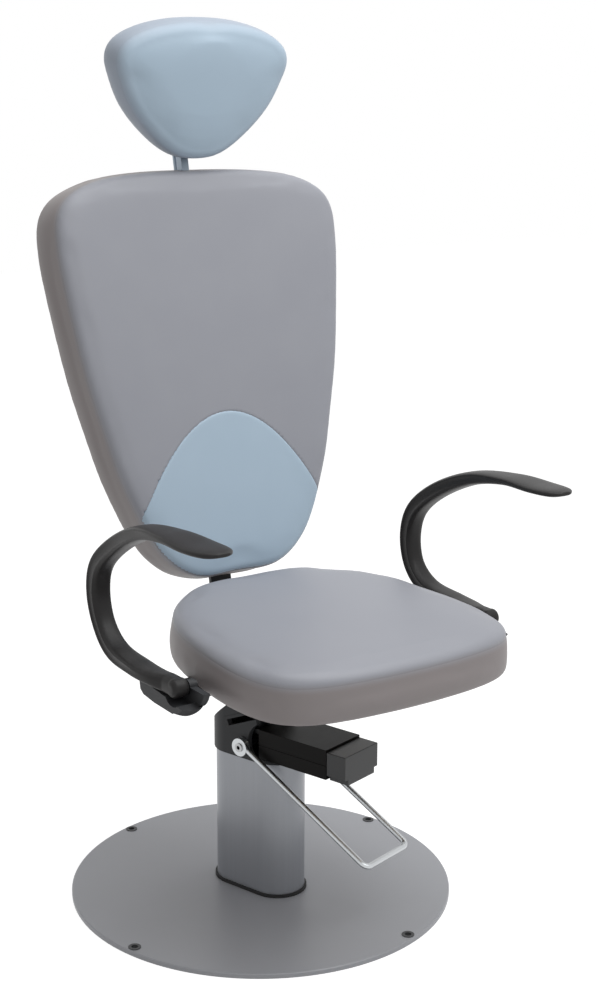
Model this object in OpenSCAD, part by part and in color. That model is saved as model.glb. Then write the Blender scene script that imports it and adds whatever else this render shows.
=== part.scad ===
// Ophthalmic examination chair: a round floor plate, an oval lifting column, a swivelling seat
// with tip-up arms, a shield-shaped backrest and a headrest. Millimetres, +Z up.
// The sitter faces -Y. The origin is the centre of the floor plate's underside, on the axis
// that the seat swivels about. The pedestal is turned under the seat by swivel_angle.

/* [Floor plate] */
// Diameter of the steel floor plate
plate_d = 650; // [560:10:800]
// Thickness of the floor plate
plate_t = 8; // [6:1:14]
// Distance from the plate's rim to the centre of each fixing hole
hole_rim = 13; // [13:1:40]
// Bore of the rubber bush in each fixing hole
bush_bore_d = 11; // [6:0.5:12]
// Turn of the pedestal under the seat, anticlockwise from above
swivel_angle = 16.4; // [-45:0.1:45]

/* [Column] */
// Length of the column's oval section, front to back
column_l = 168; // [160:1:200]
// Width of the column's oval section
column_w = 93; // [90:1:110]
// Height of the fixed outer column
column_h = 239.5; // [236:0.5:300]
// Wall of the extruded column profiles
column_wall = 5; // [3:0.5:6]
// Travel of the lift
lift_travel = 160; // [60:5:160]
// Diameter of the lift spindle
spindle_d = 18; // [14:1:22]
// Distance from the swivel axis forward to the lift spindle
spindle_fwd = 50; // [48:1:54]

/* [Column head] */
// Height of the head casting above the column
head_h = 87; // [84:1:110]
// Distance that the head casting stands proud of the column all round
head_proud = 3.5; // [2:0.5:8]
// Distance from the swivel axis forward to the head casting's front face
head_fwd = 34; // [28:1:36]
// Length of the motor housing in front of the head casting
housing_l = 142; // [130:1:180]
// Width of the motor housing
housing_w = 90; // [84:1:96]
// Height of the motor housing
housing_h = 51; // [50:1:56]
// Length of the motor housing's end cap
cap_l = 38; // [24:1:60]

/* [Foot bail] */
// Diameter of the bail's steel wire
bail_wire_d = 9.5; // [6:0.5:10]
// Length of the bail from its pivot to the middle of its crossbar
bail_l = 297; // [220:1:310]
// Slope of the bail below level at rest
bail_slope = 28.6; // [22:0.2:30]
// Bend radius of the bail's corners, to the wire's middle
bail_bend_r = 12; // [9:1:30]
// Distance from the swivel axis forward to the bail's pivot
bail_fwd = 5; // [0:1:8]
// Height of the bail's pivot above the outer column's top
bail_up = 23.5; // [20:0.5:26]

/* [Swivel] */
// Diameter of the swivel shaft
swivel_d = 35; // [25:1:40]
// Outer diameter of the two ball bearings
bearing_od = 62; // [58:1:68]
// Height of the bearing housing above the head casting
bearing_housing_h = 80; // [60:1:82]

/* [Seat] */
// Width of the seat cushion
seat_w = 482; // [440:2:520]
// Depth of the seat cushion, front to back
seat_depth = 480; // [450:2:510]
// Thickness of the seat cushion at its edge
seat_t = 77.5; // [56:0.5:100]
// Height of the crown in the middle of the seat cushion
seat_crown = 12; // [4:1:24]
// Radius of the roll around the seat cushion's top edge
seat_roll = 16; // [8:1:24]
// Height of the seat cushion's underside at its middle
seat_under_z = 463.6; // [462:0.2:500]
// Distance from the swivel axis forward to the seat cushion's middle
seat_fwd = 178.7; // [165:0.1:185]
// Angle by which the seat's back edge stands higher than its front edge
seat_pitch = 2; // [0:0.5:3]

/* [Backrest] */
// Width of the backrest at its shoulders
back_w = 542; // [460:2:580]
// Length of the backrest along its slope
back_l = 676; // [640:1:720]
// Thickness of the backrest at its edge
back_t = 84.3; // [80:0.1:96]
// Height of the crown in the middle of the backrest cushion
back_crown = 9; // [2:1:16]
// Distance by which the backrest's side edges curve forward
back_wing = 8; // [0:1:14]
// Radius of the roll around the backrest's front edge
back_roll = 16; // [8:1:20]
// Lean of the backrest from upright
back_tilt = 11; // [8:0.2:16]
// Distance from the swivel axis back to the lower end of the backrest's rear face
back_end_behind = 140.8; // [136:0.1:155]
// Height of the lower end of the backrest's rear face
back_end_z = 531.2; // [524:0.1:570]
// Distance from the backrest's lower end up to the tip of the lumbar panel
lumbar_h = 272; // [220:1:320]
// Distance by which the lumbar panel's curve falls at the backrest's half width
lumbar_fall = 370; // [300:5:500]

/* [Headrest] */
// Width of the headrest
headrest_w = 324; // [260:2:360]
// Length of the headrest along its slope
headrest_l = 221; // [180:1:250]
// Thickness of the headrest at its edge
headrest_t = 59; // [40:1:64]
// Height of the crown in the middle of the headrest
headrest_crown = 13; // [4:1:20]
// Radius of the roll around the headrest's front edge
headrest_roll = 20; // [10:1:24]
// Lean of the headrest forward from upright
headrest_lean = 9.4; // [0:0.2:14]
// Side of the square headrest post
post_w = 14; // [10:1:16]
// Diameter of the guide rod behind the headrest post
rod_d = 6.5; // [5:0.5:8]
// Distance along the post from the backrest's top to the headrest's hinge
hinge_up = 142; // [136:1:180]
// Travel of the headrest post in its guide
headrest_travel = 80; // [40:5:80]

/* [Arms] */
// Distance from the seat cushion's side to the middle of each arm's hub
arm_out = 57; // [51:1:89]
// Distance from the swivel axis forward to the arm pivots
arm_pivot_fwd = 233; // [225:1:245]
// Height of the arm pivots
arm_pivot_z = 490.5; // [488:0.5:498]
// Distance from the arm pivot back to the middle of the arm's rear bend
arm_depth = 222; // [200:1:250]
// Height of the arm pad's middle above the arm pivot
arm_rise = 240; // [200:1:280]
// Greatest width of the arm pad
arm_pad_w = 60; // [54:1:66]
// Distance by which each arm's pad stands further out than its hub
arm_lean = 18; // [10:1:30]
// Thickness of the arm at its rear bend
arm_t = 28; // [24:1:30]

/* [Hidden] */
// Clearance between parts that touch or fit face to face
fit = 0.1;
// Radial running clearance of pins, shafts and spindles
run = 0.05;
// Clearance between a soft part and its neighbour
soft_gap = 0.4;
// Overrun of every cut past the face that it goes through
over = 1;
// Facets of a true circle
$fn = 96;

// Floor plate
plate_bevel = 1.5;
hole_circle_r = plate_d / 2 - hole_rim;
hole_count = 4;
bush_wall = 2.5;
bush_flange_proud = 2.25;
bush_neck_d = bush_bore_d + 2 * bush_wall;
bush_flange_d = bush_neck_d + 2 * bush_flange_proud;
bush_flange_t = 1.2;
foot_screw_d = 8;
foot_screw_head_d = 15;
foot_screw_head_t = 4.5;
foot_screw_x = 24;
foot_screw_y = 58;
gasket_proud = 3.5;
gasket_h = 5;

// Column
foot_t = 14;
glide_t = 2.5;
inner_glide_h = 20;
glide_gap = 1.5;
head_gap = 0.5;
inner_wall = 4;
column_top = plate_t + column_h;
head_z = column_top + head_gap;
foot_top = plate_t + foot_t;
cavity_l = column_l - 2 * column_wall;
cavity_w = column_w - 2 * column_wall;
inner_l = cavity_l - 2 * (glide_t + run);
inner_w = cavity_w - 2 * (glide_t + run);
inner_foot_gap = 4;
glide_h = column_top - foot_top - inner_foot_gap - inner_glide_h - lift_travel - glide_gap;
tube_wall = 4;
tube_play = 2;
tube_id = spindle_d + 2 * tube_play;
tube_od = tube_id + 2 * tube_wall;
nut_h = 40;
nut_grip = 33;
spindle_gap = 2;
spindle_z = foot_top + spindle_gap;
nut_top = spindle_z + lift_travel + nut_grip;

// Column head and motor housing
head_plate_t = 6;
head_plate_top = head_z + head_plate_t;
head_top = head_z + head_h;
head_wall = 10;
head_deck_t = 10;
head_cut_angle = 40;
head_cut_y = 53;
head_cut_z = 69;
slot_l = 66;
slot_h = 11;
slot_depth = head_wall + over;
slot_angle = 23;
slot_mid_y = -2;
slot_mid_z = 69;
head_notch_r = 41;
head_notch_y = 56;
head_notch_z = 32;
slot_rim = 5;
slot_rim_t = 1.2;
housing_wall = 2.5;
housing_bottom = head_z + head_plate_t;
housing_top = housing_bottom + housing_h;
groove_w = 1.2;
groove_depth = 0.8;
groove_up = 24;
cap_drop = 3.6;
cap_inset = 1;
cap_tongue_w = 71;
cap_tongue_h = 10;
cap_h = 40.5;
seam_gap = 1.2;
seam_depth = 1.5;
gearbox_w = 60;
gearbox_l = 46;
gearbox_h = 42;
motor_d = 42;
motor_l = 88;
motor_up = 24;
pinion_d = 12;
spindle_top_wall = 5;

// Foot bail
bail_z = column_top + bail_up;
bail_hub_d = 31;
bail_hub_t = 10;
bail_play = 0.4;
bail_offset = 4;
shaft_d = 12;
bush_d = 16;
bail_bush_flange_d = 20;
bail_bush_flange_t = 1;
head_half_w = column_w / 2 + head_proud;
bail_hub_x = head_half_w + bail_bush_flange_t + bail_play;
bail_wire_x = bail_hub_x + bail_hub_t / 2;
end_screw_d = 15;
end_screw_t = 2;
hex_w = 7.5;
hex_depth = 9;
cam_d = 28;
cam_w = 24;
cam_off = 3;
cam_gap = 1;

// Swivel
disc_gap = 1;
brake_disc_d = 2 * (spindle_fwd - gearbox_l / 2 - disc_gap);
brake_disc_t = 8;
brake_disc_z = bail_z + cam_d / 2 + cam_gap;
bearing_t = 14;
bearing_lip = 4;
housing_ring_wall = 9;
flange_t = 8;
flange_d = 97;
swivel_screw_d = 6;
swivel_screw_circle_d = 88;
swivel_screw_len = 14;
bearing_top = head_top + bearing_housing_h;
washer_t = 3;
washer_d = 60;

// Seat
seat_shares = [[0, 1], [0.367, 0.937], [0.682, 0.7], [0.892, 0.415], [0.97, 0.05],
               [1, -0.31], [0.98, -0.59], [0.88, -0.83], [0.6, -0.955], [0, -1]];
base_roll = 10;
bulge = 1.5;
board_inset = 14;
seat_board_t = 15;
frame_t = 8;
frame_plate_w = 220;
frame_plate_rear = 50;
frame_tongue_w = 120;
frame_tongue_rear = 12;
strip_w = 48;
strip_mid = 12;
rail_w = 20;
rail_h = 16;
rail_x = 76;
front_strip_y = 150;
front_strip_w = 30;
seat_screw_d = 6;
seat_screw_head_d = 12;
seat_screw_head_t = 3;
seat_screw_up = 10;
bar_w = 40;
bar_t = 8;
hub_flange_d = 116;
hub_flange_t = 8;
hub_boss_d = 62;
hub_screw_d = 8;
hub_screw_circle_d = 94;
hub_screw_head_d = 13;
hub_screw_head_t = 8;

// Backrest
back_behind = back_end_behind + sin(back_tilt) * back_l / 2;
back_z = back_end_z + cos(back_tilt) * back_l / 2;
back_shares = [[0, 1], [0.345, 0.997], [0.715, 0.957], [0.955, 0.845], [1, 0.66], [0.978, 0.42],
               [0.9, 0.03], [0.815, -0.26], [0.73, -0.52], [0.55, -0.84], [0.3, -0.995], [0, -1]];
rim_w = 18;
shell_t = 4;
back_board_t = 10;
back_foam = 22;
back_board_z = back_t - back_foam - back_board_t;
lumbar_depth = 12;
lumbar_edge = 5;
lumbar_gap = 0.3;
lumbar_arc_steps = 14;
bar_z = 9.1;
bar_mid_z = bar_z + bar_t / 2;
bar_reach = 195;
bar_bend_r = 34;
bend_steps = 12;
mount_w = 90;
mount_l = 120;
mount_from_end = 60;
back_screw_d = 8;
back_screw_head_d = 14;
back_screw_head_t = 3;
back_screw_y = 35;
guide_w = 44;
guide_l = 110;
guide_drop = 46;
guide_wall = 4;
guide_screw_y = 40;
guide_screw_x = 15;
guide_screw_d = 5;
slot_play = 1.5;

// Headrest stem
post_z = 40.8;
rod_z = 16.2;
post_in_guide = 90;
head_block_w = 24;
head_block_l = 30;
head_block_front = 12;
head_block_rear = 32;

// Headrest
headrest_shares = [[0, 1], [0.365, 0.975], [0.702, 0.85], [0.933, 0.665], [1, 0.43],
                   [0.928, 0.12], [0.817, -0.205], [0.646, -0.49], [0.423, -0.8], [0.21, -0.965],
                   [0, -1]];
headrest_board_t = 8;
headrest_rim = 16;
headrest_standoff = 43.3;
headrest_hinge_y = 6.5;
pin_d = 8;
lug_t = 5;
lug_play = 0.3;
lug_r = 10;
lug_plate_w = 90;
lug_plate_l = 70;
lug_plate_t = 3;

// Arms
arm_x = seat_w / 2 + arm_out;
arm_path_shares = [[0, 0], [0.25, 0.006], [0.44, 0.014], [0.747, 0.044], [0.935, 0.171],
                   [1, 0.382], [0.923, 0.592], [0.651, 0.782], [0.283, 0.927], [-0.105, 0.985],
                   [-0.42, 0.986], [-0.61, 0.99], [-0.69, 0.995]];
arm_lean_shares = [0, 0.3, 0.42, 0.43, 0.43, 0.53, 0.6, 0.6, 0.83, 1.03, 1, 0.9, 0.82];
arm_width_shares = [0.47, 0.64, 0.74, 0.675, 0.6, 0.613, 0.617, 0.61, 0.73, 0.94, 1.04, 0.86, 0.35];
arm_thick_shares = [1.03, 0.8, 0.72, 0.83, 0.93, 1.01, 1.05, 1, 0.83, 0.54, 0.46, 0.42, 0.2];
arm_square_shares = [3, 3, 3, 3, 3, 3, 3, 3, 2.8, 2.4, 2.2, 2, 2];
arm_steps = 4;
arm_sides = 16;
hub_w = arm_pad_w * arm_width_shares[0];
hub_r = 14.5;
hub_edge_r = 4;
hub_tail = 24;
hub_cap_t = 5;
arm_bolt_d = 8;
arm_bolt_head_d = 14;
arm_bolt_head_t = 4;
saddle_r = 36;
saddle_round_shares = [[0, 0.9], [0.17, 1.04], [0.38, 1.12], [0.62, 1.13], [0.85, 1.04], [1, 0.95]];
saddle_inner_r = 25;
saddle_fwd = 7;
saddle_up = 0.5;
saddle_rise = 7;
saddle_dip = 12;
saddle_l = 90;
saddle_end = 12;
saddle_rear_h = 31;
saddle_gap = 0.4;
saddle_lug_r = 9.5;
cheek_r = 35;
cheek_fwd = 13;
cheek_up = 6.5;
cheek_t = 11;
cheek_gap = 1;
arm_foot_l = 72;
arm_screw_in = 58;

// Point at share t between p1 and p2 on a smooth curve that runs through p0, p1, p2 and p3
function curve_point(p0, p1, p2, p3, t) =
    (2 * p1 + (p2 - p0) * t + (2 * p0 - 5 * p1 + 4 * p2 - p3) * t * t
     + (3 * p1 - p0 - 3 * p2 + p3) * t * t * t) / 2;

// Smooth closed curve through points
function closed_curve(points, steps) = [
    for (i = [0 : len(points) - 1])
        for (k = [0 : steps - 1])
            let (n = len(points))
                curve_point(points[(i + n - 1) % n], points[i], points[(i + 1) % n],
                            points[(i + 2) % n], k / steps)
];

// Smooth open curve through points, which may be numbers or vectors
function open_curve(points, steps) = concat([
    for (i = [0 : len(points) - 2])
        for (k = [0 : steps - 1])
            let (last = len(points) - 1)
                curve_point(points[max(i - 1, 0)], points[i], points[i + 1],
                            points[min(i + 2, last)], k / steps)
], [points[len(points) - 1]]);

// Whole outline, anticlockwise from its top point, from the shares of its right half
function whole_outline(shares, width, length, steps = 3) =
    let (right = [for (s = shares) [s.x * width / 2, s.y * length / 2]],
         n = len(right))
        closed_curve(concat([right[0]],
                            [for (i = [1 : n - 2]) [-right[i].x, right[i].y]],
                            [right[n - 1]],
                            [for (i = [n - 2 : -1 : 1]) right[i]]), steps);

// Outline moved inward by a distance
function inset_outline(points, inset) =
    let (n = len(points)) [
        for (i = [0 : n - 1])
            let (along = points[(i + 1) % n] - points[(i + n - 1) % n],
                 inward = [-along.y, along.x] / norm(along))
                points[i] + inset * inward
    ];

// Oval prism whose long axis runs front to back
module oval(l, w, h) {
    linear_extrude(h) {
        square([w, l - w], center = true);
        for (side = [-1, 1])
            translate([0, side * (l - w) / 2])
                circle(d = w);
    }
}

// Cylinder whose middle is at the origin and whose axis lies along X
module cross_cylinder(d, w) {
    rotate([0, 90, 0])
        cylinder(d = d, h = w, center = true);
}

// Places of the chair's main groups
module pedestal() rotate([0, 0, swivel_angle]) children();

module at_seat() translate([0, -seat_fwd, seat_under_z]) rotate([seat_pitch, 0, 0]) children();

module at_back() translate([0, back_behind, back_z]) rotate([90 - back_tilt, 0, 0]) children();

module at_bail() pedestal() translate([0, -bail_fwd, bail_z]) children();

module at_headrest_hinge() at_back() translate([0, back_l / 2 + hinge_up, post_z]) children();

module at_headrest() {
    at_headrest_hinge()
        rotate([back_tilt + headrest_lean, 0, 0])
            translate([0, headrest_hinge_y, headrest_standoff])
                children();
}

module at_arm(side) {
    translate([side * arm_x, -arm_pivot_fwd, arm_pivot_z])
        children();
}

// Upholstered pad that stands on z = 0: a roll around each edge, drawn-in sides and a crown.
// wing lifts it towards its left and right edges.
function pad_ring(points, inset, z, wing, half_w, spread = 1) = [
    for (p = inset_outline(points, inset))
        let (q = spread * p)
            [q.x, q.y, z + wing * pow(q.x / half_w, 2)]
];

module pad(points, width, thick, roll, crown, wing = 0, back_roll = base_roll, swell = bulge) {
    arc = [0, 30, 60, 90];
    flat = [0.4, 0.75];
    domed = [0.85, 0.65, 0.4, 0.15];
    rings = concat(
        [for (s = flat) pad_ring(points, back_roll, 0, wing, width / 2, s)],
        [for (a = arc) pad_ring(points, back_roll * (1 - sin(a)), back_roll * (1 - cos(a)),
                                wing, width / 2)],
        [pad_ring(points, -swell, thick / 2, wing, width / 2)],
        [for (a = arc) pad_ring(points, roll * (1 - cos(a)), thick - roll * (1 - sin(a)),
                                wing, width / 2)],
        [for (s = domed) pad_ring(points, roll, thick + crown * (1 - s * s), wing, width / 2, s)]);
    n = len(points);
    last = len(rings) - 1;
    vertices = concat([for (ring = rings) each ring], [[0, 0, 0], [0, 0, thick + crown]]);
    floor_point = n * (last + 1);
    sides = [
        for (r = [0 : last - 1])
            for (i = [0 : n - 1])
                let (a = r * n + i, b = r * n + (i + 1) % n)
                    each [[a, b + n, b], [a, a + n, b + n]]
    ];
    floor_fan = [for (i = [0 : n - 1]) [floor_point, i, (i + 1) % n]];
    top_fan = [for (i = [0 : n - 1])
        [floor_point + 1, last * n + (i + 1) % n, last * n + i]];
    polyhedron(points = vertices, faces = concat(sides, floor_fan, top_fan), convexity = 6);
}

// Flat board with the pad's outline
module board(points, inset, thick) {
    linear_extrude(thick)
        polygon(inset_outline(points, inset));
}

seat_outline = whole_outline(seat_shares, seat_w, seat_depth);
back_outline = whole_outline(back_shares, back_w, back_l);
headrest_outline = whole_outline(headrest_shares, headrest_w, headrest_l);

module floor_plate() {
    r = plate_d / 2;
    color("silver")
        pedestal()
            difference() {
                rotate_extrude()
                    polygon([[0, 0], [r, 0], [r, plate_t - plate_bevel],
                             [r - plate_bevel, plate_t], [0, plate_t]]);
                at_holes()
                    translate([0, 0, -over])
                        cylinder(d = bush_neck_d + 2 * fit, h = plate_t + 2 * over);
                at_foot_screws()
                    foot_screw_space();
            }
}

module at_holes() {
    for (i = [0 : hole_count - 1])
        rotate([0, 0, i * 360 / hole_count])
            translate([hole_circle_r, 0, 0])
                children();
}

module at_foot_screws() {
    for (x = [-foot_screw_x, foot_screw_x])
        for (y = [-foot_screw_y, foot_screw_y])
            translate([x, y, 0])
                children();
}

module foot_screw_space() {
    translate([0, 0, -over])
        cylinder(d = foot_screw_d + 2 * fit, h = foot_top + 2 * over);
    translate([0, 0, -over])
        cylinder(d = foot_screw_head_d + 2 * fit, h = foot_screw_head_t + over + fit);
}

module hole_bushes() {
    color("dimgray")
        pedestal()
            at_holes()
                difference() {
                    union() {
                        cylinder(d = bush_neck_d, h = plate_t);
                        translate([0, 0, plate_t])
                            cylinder(d = bush_flange_d, h = bush_flange_t);
                    }
                    translate([0, 0, -over])
                        cylinder(d = bush_bore_d, h = plate_t + bush_flange_t + 2 * over);
                }
}

module foot_gasket() {
    color("black")
        pedestal()
            translate([0, 0, plate_t])
                difference() {
                    oval(column_l + 2 * gasket_proud, column_w + 2 * gasket_proud, gasket_h);
                    translate([0, 0, -over])
                        oval(column_l + 2 * fit, column_w + 2 * fit, gasket_h + 2 * over);
                }
}

module column_foot() {
    color("gray")
        pedestal()
            difference() {
                translate([0, 0, plate_t])
                    oval(cavity_l - 2 * fit, cavity_w - 2 * fit, foot_t);
                at_foot_screws()
                    foot_screw_space();
            }
}

module foot_screws() {
    color("darkgray")
        pedestal()
            at_foot_screws()
                difference() {
                    union() {
                        translate([0, 0, fit])
                            cylinder(d = foot_screw_head_d, h = foot_screw_head_t - fit);
                        translate([0, 0, foot_screw_head_t])
                            cylinder(d = foot_screw_d, h = foot_top - foot_screw_head_t);
                    }
                    translate([0, 0, -over])
                        cylinder(d = foot_screw_d / 2, h = foot_screw_head_t / 2 + over, $fn = 6);
                }
}

module outer_column() {
    color("silver")
        pedestal()
            translate([0, 0, plate_t])
                difference() {
                    oval(column_l, column_w, column_h);
                    translate([0, 0, -over])
                        oval(cavity_l, cavity_w, column_h + 2 * over);
                }
}

module outer_glide() {
    color("white")
        pedestal()
            translate([0, 0, column_top - glide_h])
                difference() {
                    oval(cavity_l, cavity_w, glide_h);
                    translate([0, 0, -over])
                        oval(inner_l + 2 * run, inner_w + 2 * run, glide_h + 2 * over);
                }
}

module inner_column() {
    z = foot_top + inner_foot_gap;
    color("lightgray")
        pedestal()
            translate([0, 0, z])
                difference() {
                    oval(inner_l, inner_w, head_z - z);
                    translate([0, 0, -over])
                        oval(inner_l - 2 * inner_wall, inner_w - 2 * inner_wall,
                             head_z - z + 2 * over);
                }
}

module inner_glide() {
    color("white")
        pedestal()
            translate([0, 0, foot_top + inner_foot_gap])
                difference() {
                    oval(cavity_l - 2 * run, cavity_w - 2 * run, inner_glide_h);
                    translate([0, 0, -over])
                        oval(inner_l, inner_w, inner_glide_h + 2 * over);
                }
}

module at_spindle(z) pedestal() translate([0, -spindle_fwd, z]) children();

module spindle_tube() {
    color("gray")
        at_spindle(foot_top)
            difference() {
                cylinder(d = tube_od, h = nut_top - nut_h - foot_top);
                translate([0, 0, -over])
                    cylinder(d = tube_id, h = nut_top - foot_top);
            }
}

module spindle_nut() {
    color("goldenrod")
        at_spindle(nut_top - nut_h)
            difference() {
                cylinder(d = tube_od, h = nut_h);
                translate([0, 0, -over])
                    cylinder(d = spindle_d + 2 * run, h = nut_h + 2 * over);
            }
}

module lift_spindle() {
    color("lightsteelblue")
        at_spindle(spindle_z)
            cylinder(d = spindle_d, h = head_plate_top + gearbox_h - spindle_top_wall - spindle_z);
}

module head_plate() {
    color("dimgray")
        pedestal()
            difference() {
                translate([0, 0, head_z])
                    oval(column_l, column_w, head_plate_t);
                translate([0, -spindle_fwd, head_z - over])
                    cylinder(d = tube_id, h = head_plate_t + 2 * over);
            }
}

// Front-to-back and upward outline of the head casting's sloping rear, cut away above it
module head_rear_cut() {
    translate([0, head_cut_y, head_z + head_cut_z])
        rotate([-head_cut_angle, 0, 0])
            translate([-column_w, -column_l, 0])
                cube([2 * column_w, 2 * column_l, head_h]);
}

module slot_block(grow, depth) {
    for (side = [-1, 1])
        translate([side * head_half_w, slot_mid_y, head_z + slot_mid_z])
            rotate([-slot_angle, 0, 0])
                cube([2 * depth, slot_l + 2 * grow, slot_h + 2 * grow], center = true);
}

module column_head() {
    inside_w = column_w - 2 * head_wall + 2 * head_proud;
    color("darkslategray")
        pedestal()
            difference() {
                intersection() {
                    union() {
                        translate([0, 0, head_z])
                            oval(column_l + 2 * head_proud, 2 * head_half_w, head_h);
                        slot_block(slot_rim, slot_rim_t);
                    }
                    translate([-column_w, -head_fwd, head_z])
                        cube([2 * column_w, column_l, head_h]);
                }
                head_rear_cut();
                translate([0, -head_notch_y, head_z + head_notch_z])
                    cross_cylinder(2 * head_notch_r, 3 * column_w);
                translate([0, 0, head_z - over])
                    oval(column_l + 2 * fit, column_w + 2 * fit, head_plate_t + over);
                difference() {
                    translate([0, 0, head_z + head_plate_t - over])
                        oval(column_l - 2 * head_wall + 2 * head_proud, inside_w,
                             head_h - head_deck_t - head_plate_t + over);
                    translate([0, 0, -head_deck_t / cos(head_cut_angle)])
                        head_rear_cut();
                }
                translate([-inside_w / 2, -column_l / 2, head_z + head_plate_t - over])
                    cube([inside_w, column_l / 2, head_h - head_deck_t - head_plate_t + over]);
                translate([0, 0, head_top - head_deck_t - over])
                    cylinder(d = swivel_d + 2 * bearing_lip, h = head_deck_t + 2 * over);
                translate([0, -bail_fwd, bail_z])
                    cross_cylinder(bush_d, 2 * column_w);
                at_swivel_screws(head_top - head_deck_t)
                    cylinder(d = swivel_screw_d, h = head_deck_t + over);
                slot_block(0, slot_depth);
            }
}

module lift_gearbox() {
    color("gray")
        at_spindle(head_plate_top)
            difference() {
                translate([-gearbox_w / 2, -gearbox_l / 2 + fit, 0])
                    cube([gearbox_w, gearbox_l, gearbox_h]);
                translate([0, 0, -over])
                    cylinder(d = spindle_d + 2 * run,
                             h = gearbox_h - spindle_top_wall + over + head_gap);
            }
}

module lift_motor() {
    color("dimgray")
        at_spindle(head_plate_top + motor_up)
            translate([0, -gearbox_l / 2, 0])
                rotate([90, 0, 0])
                    cylinder(d = motor_d, h = motor_l);
}

// Closed housing end on, open at its rear: an outer prism less its inside
module housing_prism(w, z, h, from, to) {
    translate([-w / 2, -to, z])
        cube([w, to - from, h]);
}

module motor_housing() {
    from = head_fwd + fit;
    to = head_fwd + housing_l;
    color("black")
        pedestal()
            difference() {
                housing_prism(housing_w, housing_bottom, housing_h, from, to);
                housing_prism(housing_w - 2 * housing_wall, housing_bottom - over,
                              housing_h - housing_wall + over, from - over, to - housing_wall);
                for (side = [-1, 1])
                    translate([side * housing_w / 2, -(from + to) / 2, housing_bottom + groove_up])
                        cube([2 * groove_depth, 2 * housing_l, groove_w], center = true);
            }
}

module housing_end_cap() {
    from = head_fwd + housing_l;
    to = from + cap_l;
    w = housing_w - 2 * cap_inset;
    top = housing_top - cap_drop;
    color("dimgray")
        pedestal()
            difference() {
                union() {
                    housing_prism(w, top - cap_h, cap_h, from + fit, to);
                    housing_prism(cap_tongue_w, top - cap_h - cap_tongue_h,
                                  cap_tongue_h + over, from + fit, to);
                }
                housing_prism(w - 2 * housing_wall, top - cap_h + housing_wall,
                              cap_h - 2 * housing_wall, from - over, to - housing_wall);
            }
}

module bail_bushes() {
    color("ivory")
        at_bail()
            for (side = [-1, 1])
                difference() {
                    union() {
                        translate([side * (head_half_w - head_wall / 2), 0, 0])
                            cross_cylinder(bush_d, head_wall);
                        translate([side * (head_half_w + bail_bush_flange_t / 2), 0, 0])
                            cross_cylinder(bail_bush_flange_d, bail_bush_flange_t);
                    }
                    cross_cylinder(shaft_d + 2 * run, 2 * column_w);
                }
}

module bail_shaft() {
    color("silver")
        at_bail()
            difference() {
                cross_cylinder(shaft_d, 2 * (bail_hub_x + bail_hub_t));
                at_bail_ends()
                    hex_socket();
            }
}

// Outer faces of the bail's two hubs, with +Z outward
module at_bail_ends() {
    for (side = [-1, 1])
        translate([side * (bail_hub_x + bail_hub_t), 0, 0])
            rotate([0, side * 90, 0])
                children();
}

module hex_socket() {
    translate([0, 0, end_screw_t - hex_depth])
        cylinder(d = hex_w, h = hex_depth + over, $fn = 6);
}

module brake_cam() {
    color("goldenrod")
        at_bail()
            difference() {
                translate([0, cam_off, 0])
                    cross_cylinder(cam_d, cam_w);
                cross_cylinder(shaft_d, cam_w + 2 * over);
            }
}

// Bent wire in a plane: two legs forward from the pivot, two bends and a crossbar
module foot_bail() {
    leg = bail_l - bail_bend_r;
    color("gainsboro")
        at_bail()
            rotate([bail_slope, 0, 0])
                difference() {
                    union() {
                        for (side = [-1, 1]) {
                            translate([side * (bail_hub_x + bail_hub_t / 2), 0, 0])
                                cross_cylinder(bail_hub_d, bail_hub_t);
                            translate([side * bail_wire_x, 0, bail_offset])
                                rotate([90, 0, 0])
                                    cylinder(d = bail_wire_d, h = leg);
                            translate([side * (bail_wire_x - bail_bend_r), -leg, bail_offset])
                                rotate([0, 0, side > 0 ? 270 : 180])
                                    rotate_extrude(angle = 90)
                                        translate([bail_bend_r, 0])
                                            circle(d = bail_wire_d);
                        }
                        translate([0, -bail_l, bail_offset])
                            cross_cylinder(bail_wire_d, 2 * (bail_wire_x - bail_bend_r));
                    }
                    cross_cylinder(shaft_d, 3 * column_w);
                }
}

module bail_end_screws() {
    color("whitesmoke")
        at_bail()
            at_bail_ends()
                difference() {
                    cylinder(d = end_screw_d, h = end_screw_t);
                    hex_socket();
                }
}

module at_swivel_screws(z) {
    for (i = [0 : 3])
        rotate([0, 0, 45 + i * 90])
            translate([swivel_screw_circle_d / 2, 0, z])
                children();
}

module bearing_housing() {
    color("gray")
        pedestal()
            difference() {
                union() {
                    translate([0, 0, head_top])
                        cylinder(d = flange_d, h = flange_t);
                    translate([0, 0, head_top])
                        cylinder(d = bearing_od + 2 * housing_ring_wall, h = bearing_housing_h);
                }
                translate([0, 0, head_top - over])
                    cylinder(d = swivel_d + 2 * bearing_lip, h = bearing_housing_h + 2 * over);
                translate([0, 0, head_top + bearing_lip])
                    cylinder(d = bearing_od, h = bearing_t);
                translate([0, 0, bearing_top - bearing_t])
                    cylinder(d = bearing_od, h = bearing_t + over);
                at_swivel_screws(head_top - over)
                    cylinder(d = swivel_screw_d, h = flange_t + bearing_housing_h);
            }
}

module swivel_screws() {
    color("silver")
        pedestal()
            at_swivel_screws(head_top + flange_t - swivel_screw_len)
                cylinder(d = swivel_screw_d, h = swivel_screw_len);
}

module ball_bearing(z) {
    color("lightsteelblue")
        pedestal()
            translate([0, 0, z])
                difference() {
                    cylinder(d = bearing_od, h = bearing_t);
                    translate([0, 0, -over])
                        cylinder(d = swivel_d + 2 * run, h = bearing_t + 2 * over);
                }
}

module lower_bearing() ball_bearing(head_top + bearing_lip);

module upper_bearing() ball_bearing(bearing_top - bearing_t);

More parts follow.
